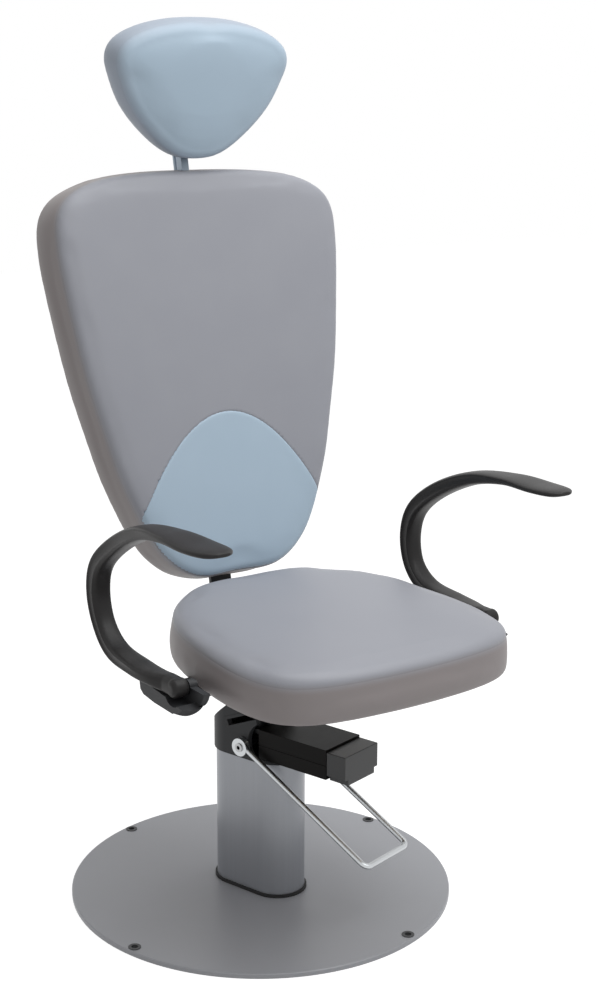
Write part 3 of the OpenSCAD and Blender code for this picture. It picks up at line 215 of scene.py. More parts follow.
# Textured anthracite powder: low sheen, pebbled about 1.2 mm.
anthracite, tree, surface, place = start_finish(
    "anthracite_powder_coat", IOR=1.5, Specular_IOR_Level=0.25)
drift = add(tree, "ShaderNodeTexNoise", {"Vector": place, "Scale": 1 / 0.05, "Detail": 3.0})
two_tones(tree, surface, drift.outputs[0], "2f3032", "38393b")
surface.inputs["Roughness"].default_value = 0.48
pebble = add(tree, "ShaderNodeTexNoise", {"Vector": place, "Scale": 1 / 0.0012, "Detail": 2.0})
bump = add(tree, "ShaderNodeBump",
           {"Height": pebble.outputs[0], "Strength": 0.22, "Distance": 0.00015})
tree.links.new(bump.outputs[0], surface.inputs["Normal"])

# Black oxide on steel: blue-black and oiled, with faint blotches 5 mm across.
black_oxide, tree, surface, place = start_finish(
    "black_oxide_steel", IOR=1.5, Specular_IOR_Level=0.3)
blotch = add(tree, "ShaderNodeTexNoise", {"Vector": place, "Scale": 1 / 0.005, "Detail": 2.0})
two_tones(tree, surface, blotch.outputs[0], "17181a", "202124")
surface.inputs["Roughness"].default_value = 0.45

dress(anthracite, "head_plate", "column_head", "bearing_housing")
dress(black_oxide, "swivel_screws")
break_edges(0.0012, "column_head")
break_edges(0.001, "bearing_housing", "head_plate")


# LIFT MOTOR AND ITS HOUSING
# A low-voltage motor and worm gearbox lie under the seat in a moulded ABS cover. The cover has
# a smooth mould finish, and its separate end cap is grained and a little lighter.

# Black ABS: deep black, a low gloss with faint flow marks 30 mm across.
black_abs, tree, surface, place = start_finish(
    "moulded_black_abs", IOR=1.53, Specular_IOR_Level=0.08)
flow = add(tree, "ShaderNodeTexNoise", {"Vector": place, "Scale": 1 / 0.03, "Detail": 2.0})
two_tones(tree, surface, flow.outputs[0], "100f0e", "171615")
shine = add(tree, "ShaderNodeMapRange",
            {"Value": flow.outputs[0], "To Min": 0.36, "To Max": 0.44})
tree.links.new(shine.outputs[0], surface.inputs["Roughness"])

# Grained ABS: dark grey, spark-eroded grain about 0.8 mm.
grey_abs, tree, surface, place = start_finish(
    "grained_grey_abs", IOR=1.53, Specular_IOR_Level=0.35)
spark = add(tree, "ShaderNodeTexNoise", {"Vector": place, "Scale": 1 / 0.0008, "Detail": 2.0})
two_tones(tree, surface, spark.outputs[0], "373839", "404142")
surface.inputs["Roughness"].default_value = 0.42
bump = add(tree, "ShaderNodeBump",
           {"Height": spark.outputs[0], "Strength": 0.15, "Distance": 0.0001})
tree.links.new(bump.outputs[0], surface.inputs["Normal"])

dress(black_abs, "motor_housing")
dress(grey_abs, "housing_end_cap")
dress(anthracite, "lift_gearbox", "lift_motor")
break_edges(0.0012, "motor_housing", "housing_end_cap")


# FOOT BAIL
# A 9.5 mm steel wire bent to a loop, brushed and nickel plated, with a turned hub at each end
# on a cross shaft. Pressed by a foot, it lets the seat turn. Socket screws close the shaft.

# Nickel plate over brushed steel: bright, with hairline brushing marks 0.5 mm apart.
nickel, tree, surface, place = start_finish("satin_nickel", Metallic=1.0)
polish = add(tree, "ShaderNodeTexNoise", {"Vector": place, "Scale": 1 / 0.0005, "Detail": 2.0})
two_tones(tree, surface, polish.outputs[0], "bcbfc1", "cccfd1")
bright = add(tree, "ShaderNodeMapRange",
             {"Value": polish.outputs[0], "To Min": 0.3, "To Max": 0.4})
tree.links.new(bright.outputs[0], surface.inputs["Roughness"])

dress(nickel, "foot_bail")
dress(machined_steel, "bail_end_screws")
dress(black_oxide, "bail_shaft", "brake_cam")


# SEAT SWIVEL
# A turned and blackened shaft stands in two ball bearings and carries a flanged hub, which
# four socket screws fix under the seat. A brass thrust washer lies on the upper bearing.

dress(nickel, "lower_bearing", "upper_bearing")
dress(brass, "thrust_washer")
dress(black_oxide, "swivel_shaft", "hub_screws")
dress(anthracite, "swivel_hub")
break_edges(0.001, "swivel_hub")


# SEAT FRAME
# Flat steel strips and rails welded into a cross under the seat, coated anthracite, with a
# plywood board on top that the foam is glued to.

# Birch plywood: long pale grain, 3 mm figure stretched ten times along the sheet.
plywood, tree, surface, place = start_finish("birch_plywood", IOR=1.5)
along = add(tree, "ShaderNodeMapping", {"Vector": place, "Scale": (330.0, 33.0, 33.0)})
figure = add(tree, "ShaderNodeTexNoise",
             {"Vector": along.outputs[0], "Scale": 1.0, "Detail": 4.0})
two_tones(tree, surface, figure.outputs[0], "a98a62", "c7aa80")
surface.inputs["Roughness"].default_value = 0.55

dress(anthracite, "seat_frame")
dress(plywood, "seat_board")
dress(machined_steel, "seat_screws")
break_edges(0.0008, "seat_frame")


# SEAT CUSHION
# Moulded polyurethane foam on the plywood board, wrapped in smooth grey upholstery vinyl. A
# top panel is sewn to a side band by a seam just under the rolled edge.

def smooth_loop(points, count):
    """Smooth closed curve through points, with count points evenly along it."""
    steps = 24
    p1 = np.asarray(points, float)
    p0, p2, p3 = np.roll(p1, 1, 0), np.roll(p1, -1, 0), np.roll(p1, -2, 0)
    t = (np.arange(steps) / steps)[None, :, None]
    p0, p1, p2, p3 = (p[:, None, :] for p in (p0, p1, p2, p3))
    fine = ((2 * p1 + (p2 - p0) * t + (2 * p0 - 5 * p1 + 4 * p2 - p3) * t ** 2
             + (3 * p1 - p0 - 3 * p2 + p3) * t ** 3) / 2).reshape(-1, 2)
    return even_loop(fine, count)


def even_loop(points, count):
    """The closed curve with its points spaced evenly along it."""
    closed = np.vstack([points, points[:1]])
    way = np.concatenate([[0], np.cumsum(np.linalg.norm(np.diff(closed, axis=0), axis=1))])
    at = np.linspace(0, way[-1], count, endpoint=False)
    return np.stack([np.interp(at, way, closed[:, i]) for i in (0, 1)], 1)


def eased(loop, rounds):
    """The closed curve with its small kinks smoothed out."""
    for _ in range(rounds):
        loop = (loop + np.roll(loop, 1, 0) + np.roll(loop, -1, 0)) / 3
    return loop


def pad_outline(shares, width, length, count=240, crisp=0.0):
    """Whole outline of a pad, anticlockwise, from the shares of its right half. The rounding
    that smooths it is given back at its corners by the share crisp."""
    right = np.array(shares) * [width / 2, length / 2]
    left = right[1:-1] * [-1, 1]
    loop = smooth_loop(np.vstack([right[:1], left, right[-1:], right[1:-1][::-1]]), count)
    rounds = round(12 * (count / 240) ** 2)      # the same length of curve at any count
    return eased(loop + crisp * (loop - eased(loop, rounds)), rounds)


def moved_in(outline, distance):
    """The anticlockwise outline moved inwards by this distance."""
    along = np.roll(outline, -1, 0) - np.roll(outline, 1, 0)
    along /= np.linalg.norm(along, axis=1)[:, None]
    return outline + distance * np.stack([-along[:, 1], along[:, 0]], 1)


def ring_mesh(name, rings):
    """Closed mesh from rings of equal count, the first and last closed by a middle point."""
    n = len(rings[0])
    points = np.vstack(rings + [rings[0].mean(0)[None], rings[-1].mean(0)[None]])
    first, last = len(points) - 2, len(points) - 1
    faces = []
    for r in range(len(rings) - 1):
        for i in range(n):
            j = (i + 1) % n
            faces.append((r * n + i, r * n + j, (r + 1) * n + j, (r + 1) * n + i))
    top = (len(rings) - 1) * n
    for i in range(n):
        j = (i + 1) % n
        faces.append((first, j, i))
        faces.append((last, top + i, top + j))
    mesh = bpy.data.meshes.new(name)
    mesh.from_pydata(points.tolist(), [], faces)
    mesh.update()
    piece = bpy.data.objects.new(name, mesh)
    bpy.context.scene.collection.objects.link(piece)
    return piece


def tilt_about_x(degrees):
    """Turns a pad's own axes, with its face up, to lean by these degrees."""
    c, s = math.cos(math.radians(degrees)), math.sin(math.radians(degrees))
    return np.array([[1, 0, 0], [0, c, -s], [0, s, c]])


def foam_form(name, outline, thick, roll, crown, turn, middle, wing=0.0, rim=0.014, under=0.0,
              base_roll=0.01, draw_in=0.002, step=0.008, flat_face=2):
    """Foam block in its place: rolled edges, a crowned face and, behind, a place for its board,
    as deep as step. The cover is turned in under the block as far as rim, at the height under.
    The crown keeps to the face's edges the more, the greater flat_face is."""
    half = outline[:, 0].max()
    rings = []

    def ring(inset, z, spread=1.0):
        flat = moved_in(outline, inset) * spread
        lift = z + wing * (flat[:, 0] / half) ** 2
        rings.append(np.column_stack([flat, lift]) @ turn.T + middle)

    # The board's place, and the cover turned in round it.
    board_edge = rim + 0.001
    for spread in (0.3, 0.6, 0.85):
        ring(board_edge, step, spread)
    ring(board_edge, step)
    ring(rim, under)
    # The rear edge, the side with its slight belly, the rolled front edge and the face.
    for a in np.radians(np.linspace(0, 90, 5)):
        ring(base_roll * (1 - math.sin(a)), under + (base_roll - under) * (1 - math.cos(a)))
    for share in np.linspace(0, 1, 9)[1:-1]:
        z = base_roll + share * (thick - roll - base_roll)
        ring(-draw_in * 4 * share * (1 - share), z)
    for a in np.radians(np.linspace(0, 90, 9)):
        ring(roll * (1 - math.cos(a)), thick - roll * (1 - math.sin(a)))
    for spread in np.linspace(1, 0.06, 16)[1:]:
        ring(roll, thick + crown * (1 - spread ** flat_face), spread)
    return ring_mesh(name, rings)


def take_shape(piece):
    """The piece's modifiers become its mesh."""
    done = piece.evaluated_get(bpy.context.evaluated_depsgraph_get())
    mesh = bpy.data.meshes.new_from_object(done)
    piece.modifiers.clear()
    piece.data = mesh


def places(piece):
    """The piece's points, as rows."""
    flat = np.empty(len(piece.data.vertices) * 3)
    piece.data.vertices.foreach_get("co", flat)
    return flat.reshape(-1, 3)


def put_places(piece, points):
    piece.data.vertices.foreach_set("co", np.array(points, float).ravel())
    piece.data.update()


def skin(piece, voxel, evening):
    """An even net of faces over the piece, smoothed and laid back on the piece's own surface."""
    form = BVHTree.FromObject(piece, bpy.context.evaluated_depsgraph_get())
    remesh = piece.modifiers.new("even faces", "REMESH")
    remesh.mode = "VOXEL"
    remesh.voxel_size = voxel
    ease = piece.modifiers.new("evening", "SMOOTH")
    ease.factor = 0.5
    ease.iterations = evening
    take_shape(piece)
    put_places(piece, [form.find_nearest(Vector(point))[0] for point in places(piece)])


def even_out(piece, moves, rounds):
    """Moves of the piece's points, each drawn towards its neighbours', so that no pucker is
    left."""
    ends = np.empty(len(piece.data.edges) * 2, np.int32)
    piece.data.edges.foreach_get("vertices", ends)
    a, b = ends.reshape(-1, 2).T
    neighbours = np.bincount(ends, minlength=len(moves))[:, None]
    for _ in range(rounds):
        near = np.stack([np.bincount(a, moves[b, k], len(moves))
                         + np.bincount(b, moves[a, k], len(moves)) for k in range(3)], 1)
        moves = (moves + near / neighbours) / 2
    return moves


def upholster(piece, turn, middle, board, most=0.004):
    """The vinyl is drawn over the foam: a cloth held below the height board and swelled
    from inside, by 4 mm at most unless most says otherwise."""
    start = places(piece)
    depth = ((start - middle) @ turn)[:, 2]
    last_frame, drawn_even = 20, 16
    held = piece.vertex_groups.new(name="stapled")
    held.add(np.nonzero(depth < board)[0].tolist(), 1.0, "REPLACE")
    cloth = piece.modifiers.new("vinyl", "CLOTH")
    cloth.settings.quality = 4
    cloth.settings.mass = 0.4
    cloth.settings.tension_stiffness = 25
    cloth.settings.compression_stiffness = 25
    cloth.settings.bending_stiffness = 4
    cloth.settings.use_pressure = True
    cloth.settings.uniform_pressure_force = 4.0
    cloth.settings.vertex_group_mass = "stapled"
    cloth.settings.effector_weights.gravity = 0.0
    cloth.collision_settings.use_collision = False
    cloth.point_cache.frame_start = 1
    cloth.point_cache.frame_end = last_frame
    for number in range(1, last_frame + 1):
        bpy.context.scene.frame_set(number)
    take_shape(piece)
    swelled = even_out(piece, places(piece) - start, drawn_even)
    far = np.linalg.norm(swelled, axis=1)
    swelled *= np.minimum(1.0, most / np.maximum(far, 1e-9))[:, None]
    put_places(piece, start + swelled)
    bpy.context.scene.frame_set(1)


def shade_smooth(piece):
    piece.data.polygons.foreach_set("use_smooth", [True] * len(piece.data.polygons))


def finer(piece):
    """One subdivision, with smooth shading."""
    divide = piece.modifiers.new("finer", "SUBSURF")
    divide.levels = divide.render_levels = 1
    take_shape(piece)
    shade_smooth(piece)


def pad_heights(points, turn, middle, wing, half):
    """Heights over the pad's rear face, which bends forward by wing at half from the middle."""
    local = (points - middle) @ turn
    return local[:, 2] - wing * (local[:, 0] / half) ** 2


def sew_seam(piece, turn, middle, height, deep, wing=0.0, half=1.0, wide=0.0026):
    """A seam round the pad's side at this height: the vinyl dips to the stitches."""
    points = places(piece)
    level = pad_heights(points, turn, middle, wing, half)
    normals = np.empty(len(points) * 3)
    piece.data.vertices.foreach_get("normal", normals)
    normals = normals.reshape(-1, 3)
    dip = deep * np.exp(-((level - height) / wide) ** 2)
    put_places(piece, points - normals * dip[:, None])


def mark_seam(piece, turn, middle, height, wing=0.0, half=1.0):
    """Stores each point's height over the seam, for the finish to tell face from side band and
    where its painted shade falls.
    """
    level = pad_heights(places(piece), turn, middle, wing, half)
    layer = piece.data.attributes.new("over_seam", "FLOAT", "POINT")
    layer.data.foreach_set("value", level - height)


def finish_vinyl(name, face, band_and_shade, sunk, turn_at):
    """Upholstery vinyl: soft satin, pressed leather grain of 1.1 mm cells drawn 1.6 mm wide
    so that it shows, and a slow drift of tone. Its side band is darker and warmer, partly its
    own tone and partly painted shade of the sides and rolled edge: the tone turns between these
    heights over the seam. The seam is 2 mm wide and sunk by this share, and its dip is painted
    darker, as shade, by the same share."""
    material, tree, surface, place = start_finish(name, IOR=1.5)
    cells = add(tree, "ShaderNodeTexVoronoi", {"Vector": place, "Scale": 1 / 0.0016},
                feature="SMOOTH_F1")
    pores = add(tree, "ShaderNodeTexNoise", {"Vector": place, "Scale": 1 / 0.0007, "Detail": 2.0})
    slow = add(tree, "ShaderNodeTexNoise", {"Vector": place, "Scale": 1 / 0.09, "Detail": 2.0})
    over_seam = add(tree, "ShaderNodeAttribute", attribute_name="over_seam").outputs["Fac"]
    side = add(tree, "ShaderNodeMapRange",
               {"Value": over_seam, "From Min": turn_at[0], "From Max": turn_at[1]},
               interpolation_type="SMOOTHSTEP")
    off_seam = add(tree, "ShaderNodeMath", {0: over_seam}, operation="ABSOLUTE")
    groove = add(tree, "ShaderNodeMapRange",
                 {"Value": off_seam.outputs[0], "From Min": 0.0, "From Max": 0.002,
                  "To Min": 1.0, "To Max": 0.0}, interpolation_type="SMOOTHSTEP")
    # The side band's tone: partly its own darker, warmer vinyl and partly painted shade of the
    # sides and rolled edge.
    tone, band_and_shade_tone = (
        add(tree, "ShaderNodeMix", {0: slow.outputs[0], 6: linear(dark), 7: linear(light)},
            data_type="RGBA")
        for dark, light in (face, band_and_shade[:2]))
    both = add(tree, "ShaderNodeMix",
               {0: side.outputs[0], 6: tone.outputs[2], 7: band_and_shade_tone.outputs[2]}, data_type="RGBA")
    # Painted shade: the seam's dip is darkened towards the band's third, darkest colour.
    deep = add(tree, "ShaderNodeMath", {0: groove.outputs[0], 1: sunk}, operation="MULTIPLY")
    seam_shade = add(tree, "ShaderNodeMix",
               {0: deep.outputs[0], 6: both.outputs[2], 7: linear(band_and_shade[2])}, data_type="RGBA")
    tree.links.new(seam_shade.outputs[2], surface.inputs["Base Color"])
    worn = add(tree, "ShaderNodeMapRange",
               {"Value": slow.outputs[0], "To Min": 0.42, "To Max": 0.52})
    tree.links.new(worn.outputs[0], surface.inputs["Roughness"])
    height = add(tree, "ShaderNodeMath",
                 {0: cells.outputs["Distance"], 1: 0.6, 2: pores.outputs[0]},
                 operation="MULTIPLY_ADD")
    bump = add(tree, "ShaderNodeBump",
               {"Height": height.outputs[0], "Strength": 0.18, "Distance": 0.00012})
    dip = add(tree, "ShaderNodeBump",
              {"Height": groove.outputs[0], "Strength": sunk, "Distance": 0.0014,
               "Normal": bump.outputs[0]}, invert=True)
    tree.links.new(dip.outputs[0], surface.inputs["Normal"])
    return material


def wear(piece, material, body, slot, *nodes):
    """A modelled piece gets its finish, its body and the CAD nodes that it stands for."""
    piece.data.materials.clear()
    piece.data.materials.append(material)
    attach(piece, body)
    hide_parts(*nodes)


# Grey vinyl: the side band's darker, warmer tone is partly the band's own vinyl and partly
# painted shade; the seam's dark line is painted shade.
grey_vinyl = finish_vinyl("grey_vinyl", ("9b9da5", "a1a3aa"), ("8d8786", "918a8a", "6a6665"),
                          sunk=0.15, turn_at=(0.009, -0.010))

# The cover makes the pad 3 mm wider and longer than its solid.
seat_w, seat_l, seat_fuller = 0.482, 0.480, 0.003
seat_thick, seat_roll, seat_crown = 0.0755, 0.019, 0.011
seat_turn = tilt_about_x(2)
seat_middle = np.array([0, -0.1787, 0.4636])
seat_outline = pad_outline(
    [[0, 1], [0.4, 0.955], [0.712, 0.73], [0.897, 0.415], [0.972, 0.05], [1, -0.31],
     [0.98, -0.59], [0.88, -0.83], [0.6, -0.955], [0, -1]],
    seat_w + seat_fuller, seat_l + seat_fuller)
seat_cushion = foam_form("seat_pad", seat_outline, seat_thick, seat_roll, seat_crown,
                         seat_turn, seat_middle, rim=0.045, under=-0.0008, draw_in=0.0025)
skin(seat_cushion, voxel=0.006, evening=6)
upholster(seat_cushion, seat_turn, seat_middle, board=0.006)
finer(seat_cushion)
seat_seam = seat_thick - 0.018      # the seam runs 18 mm under the face's edge
sew_seam(seat_cushion, seat_turn, seat_middle, seat_seam, deep=0.0004)
mark_seam(seat_cushion, seat_turn, seat_middle, seat_seam)
wear(seat_cushion, grey_vinyl, "seat", "grey_vinyl", "seat_cushion")


# BACKREST CARRIER
# A flat steel bar bends up behind the seat and is screwed to a block behind the back's
# plywood board. A thin moulded shell closes the back.

# Moulded polypropylene: dark grey, fine matt grain of 0.9 mm.
grained_shell, tree, surface, place = start_finish("grained_grey_polypropylene", IOR=1.49)
grain = add(tree, "ShaderNodeTexNoise", {"Vector": place, "Scale": 1 / 0.0009, "Detail": 2.0})
two_tones(tree, surface, grain.outputs[0], "47494b", "505254")
surface.inputs["Roughness"].default_value = 0.55
bump = add(tree, "ShaderNodeBump",
           {"Height": grain.outputs[0], "Strength": 0.2, "Distance": 0.00012})
tree.links.new(bump.outputs[0], surface.inputs["Normal"])

dress(anthracite, "back_bar", "back_mount")
dress(plywood, "back_board")
dress(machined_steel, "back_screws")
dress(grained_shell, "back_shell")
break_edges(0.001, "back_bar")


# BACK CUSHION
# One tall shield-shaped foam pad in the same grey vinyl, wide at the shoulders and narrow at
# the waist, its side edges curved a little forward round the sitter.

# The cover makes the pad a little wider and longer than its solid. The back leans 11 degrees.
back_w, back_l, back_wider, back_longer = 0.542, 0.676, 0.003, 0.004
back_lean = 90 - 11
back_thick, back_roll, back_crown, back_wing = 0.0835, 0.014, 0.005, 0.008
back_turn = tilt_about_x(back_lean)
back_middle = np.array([0, 0.2053, 0.863])
back_shares = [[0, 1], [0.345, 0.997], [0.715, 0.957], [0.955, 0.845], [1, 0.66],
               [0.978, 0.42], [0.909, 0.03], [0.825, -0.26], [0.735, -0.52], [0.55, -0.84],
               [0.3, -0.995], [0, -1]]
back_outline = pad_outline(back_shares, back_w + back_wider, back_l + back_longer,
                           count=300, crisp=1.0)
back_cushion = foam_form("back_pad", back_outline, back_thick, back_roll, back_crown, back_turn,
                         back_middle, back_wing, rim=0.0175, step=0.009)
skin(back_cushion, voxel=0.006, evening=6)
upholster(back_cushion, back_turn, back_middle, board=0.012)
finer(back_cushion)
back_seam = back_thick - 0.013
sew_seam(back_cushion, back_turn, back_middle, back_seam, 0.0002, back_wing, back_w / 2)
mark_seam(back_cushion, back_turn, back_middle, back_seam, back_wing, back_w / 2)


# LUMBAR PANEL
# A separate thin pad in grey-blue vinyl, let into the lower part of the back. Its top edge is
# an arch, and its sides follow the back's own outline just inside the rolled edge.

lumbar_tip, lumbar_fall, lumbar_edge = back_l / 2 - 0.404, 0.370, 0.005
panel_sunk, panel_proud, panel_roll, panel_pocket = 0.008, 0.0007, 0.0040, 0.005
pocket_gap, pocket_slope = 0.001, 0.004


def arch_height(x):
    """Height of the panel's top edge on the back, at x from the middle."""
    return lumbar_tip - lumbar_fall * (x / (back_w / 2)) ** 2


around = moved_in(pad_outline(back_shares, back_w, back_l, count=1200, crisp=1.0), lumbar_edge)
inside = around[:, 1] < arch_height(around[:, 0])
start = int(np.nonzero(inside & ~np.roll(inside, 1))[0][0])
lower = np.roll(around, -start, 0)[:int(inside.sum())]
span = np.linspace(lower[-1, 0], lower[0, 0], 400)[1:-1]
arch = np.column_stack([span, arch_height(span)])
panel_edge = eased(even_loop(np.vstack([lower, arch]), 720), 10)

back_surface = BVHTree.FromObject(back_cushion, bpy.context.evaluated_depsgraph_get())
out_of_back = Vector(back_turn @ np.array([0, 0, 1]))
clear = 0.2      # well in front of the back, in metres


def back_face(flat):
    """Height of the back cushion's face over these places, square to the back."""
    heights = []
    for x, y in flat:
        above = Vector(back_turn @ np.array([x, y, clear]) + back_middle)
        hit = back_surface.ray_cast(above, -out_of_back)[0]
        heights.append(clear - (above - hit).length if hit else back_thick - back_roll)
    return np.array(heights)


# The panel's rings, from its rear by its rolled edge to the middle of its face.
panel_centre = panel_edge.mean(0)
halfway = panel_centre + (panel_edge - panel_centre) * 0.5
panel_rings = [np.column_stack([halfway, back_face(halfway) - panel_sunk])]
for inset, rise in ((0.0, -panel_sunk), (0.0, -0.0012), (0.0004, -0.0005), (0.0011, 0.0),
                    (0.0022, 0.0004), (panel_roll, panel_proud)):
    flat = moved_in(panel_edge, inset)
    panel_rings.append(np.column_stack([flat, back_face(flat) + rise]))
inner = moved_in(panel_edge, panel_roll)
for spread in np.linspace(1, 0.03, 40)[1:]:
    flat = panel_centre + (inner - panel_centre) * spread
    panel_rings.append(np.column_stack([flat, back_face(flat) + panel_proud]))
lumbar = ring_mesh("lumbar_pad", [r @ back_turn.T + back_middle for r in panel_rings])
shade_smooth(lumbar)


def within(flat, outline):
    """True for each place that lies inside the closed outline."""
    inside = np.zeros(len(flat), bool)
    for a, b in zip(outline, np.roll(outline, -1, 0)):
        spans = (a[1] > flat[:, 1]) != (b[1] > flat[:, 1])
        crossing = (b[0] - a[0]) * (flat[:, 1] - a[1]) / (b[1] - a[1] + 1e-12) + a[0]
        inside ^= spans & (flat[:, 0] < crossing)
    return inside


# The foam under the panel is moulded 5 mm deeper, with a slope 4 mm wide round the pocket.
points = places(back_cushion)
local = (points - back_middle) @ back_turn
below_arch = local[:, 1] < arch_height(local[:, 0])
front = np.nonzero(below_arch & (local[:, 2] > back_thick - back_roll))[0]
pocket_edge = panel_edge[::6]
nearest = np.min(np.linalg.norm(local[front, None, :2] - pocket_edge[None], axis=2), axis=1)
share = np.clip((nearest - pocket_gap) / pocket_slope, 0, 1)
share = share * within(local[front, :2], pocket_edge)
sunk = panel_pocket * share * share * (3 - 2 * share)
points[front] -= sunk[:, None] * np.array(out_of_back)
put_places(back_cushion, points)
wear(back_cushion, grey_vinyl, "seat", "grey_vinyl", "back_cushion")

# Blue vinyl: the darker tone over the headrest's side and rolled edge is painted shade, and the
# seam's dark line is painted shade.
blue_vinyl = finish_vinyl("blue_vinyl", ("b0c5d5", "b6cada"), ("a4aebd", "a9b4c0", "7c8690"),
                          sunk=0.1, turn_at=(0.017, -0.006))
# The panel has no side band, so all of it counts as well over the seam.
well_over = 0.05
layer = lumbar.data.attributes.new("over_seam", "FLOAT", "POINT")
layer.data.foreach_set("value", np.full(len(lumbar.data.vertices), well_over))
wear(lumbar, blue_vinyl, "seat", "blue_vinyl", "lumbar_panel")


# HEADREST POST AND HINGE
# A square steel tube and a thin guide rod slide in a guide block inside the back. A small
# block at their top holds the hinge of a bracket, which is fixed to the headrest's board.

# Blue-grey satin lacquer on steel, with drawing marks 1.5 mm apart along it.
blue_lacquer, tree, surface, place = start_finish("blue_grey_lacquer", IOR=1.5, Metallic=0.35)
drawn = add(tree, "ShaderNodeTexNoise", {"Vector": place, "Scale": 1 / 0.0015, "Detail": 2.0})
two_tones(tree, surface, drawn.outputs[0], "a3b2c0", "aebdca")
surface.inputs["Roughness"].default_value = 0.32

# Black-stained birch plywood, lacquered matt: the grain still shows, 3 mm figure.
stained_plywood, tree, surface, place = start_finish("stained_plywood", IOR=1.5)
along = add(tree, "ShaderNodeMapping", {"Vector": place, "Scale": (33.0, 330.0, 330.0)})
figure = add(tree, "ShaderNodeTexNoise",
             {"Vector": along.outputs[0], "Scale": 1.0, "Detail": 4.0})
two_tones(tree, surface, figure.outputs[0], "2b2a29", "3a3836")
surface.inputs["Roughness"].default_value = 0.5

dress(blue_lacquer, "headrest_post", "headrest_rod")
dress(anthracite, "headrest_guide", "hinge_block", "headrest_bracket")
dress(machined_steel, "guide_screws", "hinge_pin")
dress(stained_plywood, "headrest_board")
break_edges(0.0008, "headrest_post", "hinge_block", "headrest_bracket")


# HEADREST CUSHION
# A rounded triangular pad in the grey-blue vinyl, thick and well crowned, on a small board
# with a hinge bracket behind it.

head_w, head_l, head_wider, head_longer = 0.324, 0.221, 0.003, 0.001
head_thick, head_roll, head_crown = 0.058, 0.019, 0.007
head_lean, hinge_up, hinge_front = 90 + 9.4, 0.142, 0.0408
pad_up, pad_front = 0.0065, 0.0433
head_turn = tilt_about_x(head_lean)
hinge = back_turn @ np.array([0, back_l / 2 + hinge_up, hinge_front]) + back_middle
head_middle = hinge + head_turn @ np.array([0, pad_up, pad_front])
head_outline = pad_outline(
    [[0, 1], [0.365, 0.975], [0.702, 0.862], [0.933, 0.675], [1, 0.43], [0.93, 0.12],
     [0.822, -0.205], [0.656, -0.5], [0.42, -0.8], [0.21, -0.965], [0, -1]],
    head_w + head_wider, head_l + head_longer)
headrest_cushion = foam_form("headrest_pad", head_outline, head_thick, head_roll, head_crown,
                             head_turn, head_middle, rim=0.032, under=-0.0006, base_roll=0.006,
                             flat_face=4)
skin(headrest_cushion, voxel=0.005, evening=6)
upholster(headrest_cushion, head_turn, head_middle, board=0.006, most=0.003)
finer(headrest_cushion)
head_seam = head_thick - 0.014
sew_seam(headrest_cushion, head_turn, head_middle, head_seam, deep=0.0003)
mark_seam(headrest_cushion, head_turn, head_middle, head_seam)
wear(headrest_cushion, blue_vinyl, "headrest", "blue_vinyl", "headrest_cushion")


# ARM BRACKETS
# Cast saddles under the arms, screwed to the seat frame and coated anthracite. Each has a cup
# for the arm's hub, and a bolt through both that the arm turns on.

dress(anthracite, "arm_bracket_left", "arm_bracket_right", "arm_bolts")
dress(machined_steel, "arm_screws")
break_edges(0.0015, "arm_bracket_left", "arm_bracket_right")


# ARMS
# Curved armrests of self-skinned polyurethane moulded over a steel core. Each runs back from
# its hub, up round a bend and forward to a flat pad, with a shallow channel in both sides.

# Self-skinned polyurethane: black, soft satin, fine leather grain 1 mm, drawn 1.3 mm wide.
black_skin, tree, surface, place = start_finish(
    "self_skinned_polyurethane", IOR=1.5, Specular_IOR_Level=0.18)
slow = add(tree, "ShaderNodeTexNoise", {"Vector": place, "Scale": 1 / 0.04, "Detail": 2.0})
two_tones(tree, surface, slow.outputs[0], "2a2929", "323131")
soft = add(tree, "ShaderNodeMapRange", {"Value": slow.outputs[0], "To Min": 0.36, "To Max": 0.44})
tree.links.new(soft.outputs[0], surface.inputs["Roughness"])
pebble = add(tree, "ShaderNodeTexVoronoi", {"Vector": place, "Scale": 1 / 0.0013},
             feature="SMOOTH_F1")
bump = add(tree, "ShaderNodeBump",
           {"Height": pebble.outputs["Distance"], "Strength": 0.15, "Distance": 0.0001})
tree.links.new(bump.outputs[0], surface.inputs["Normal"])

arm_x, arm_back, arm_up = 0.298, -0.233, 0.4905
arm_depth, arm_rise, arm_pad_w, arm_lean, arm_thick = 0.222, 0.240, 0.060, 0.018, 0.028
hub_r, hub_round, hub_tail = 0.0145, 0.008, 0.024

# The arm from its hub to the tip of its pad, at 13 places along it: where it runs, as shares of
# its depth and rise, how far it leans out, its width and thickness, how square its section is,
# where 2 is an ellipse, and how deep its channel is cut. The channel takes the middle half of
# each side.
arm_path = np.array([[hub_tail / arm_depth, 0], [0.25, 0.006], [0.44, 0.014], [0.747, 0.044],
                     [0.935, 0.171], [1, 0.382], [0.923, 0.592], [0.651, 0.782], [0.283, 0.927],
                     [-0.105, 0.985], [-0.42, 0.986], [-0.61, 0.99], [-0.69, 0.995]])
arm_leans = [0, 0.3, 0.42, 0.43, 0.43, 0.53, 0.6, 0.6, 0.83, 1.03, 1, 0.9, 0.82]
arm_widths = [0.47, 0.64, 0.74, 0.675, 0.6, 0.613, 0.617, 0.61, 0.73, 0.94, 1.04, 0.86, 0.35]
arm_thicks = [1.03, 0.8, 0.72, 0.83, 0.93, 1.01, 1.05, 1, 0.83, 0.54, 0.46, 0.42, 0.2]
arm_squares = [3, 3, 3, 3, 3, 3, 3, 3, 3, 2.9, 2.8, 2.7, 2.6]
arm_channel = [0, 0.1, 0.6, 1, 1, 1, 1, 1, 0.7, 0.25, 0, 0, 0]
channel_deep, channel_half = 0.0042, 0.24


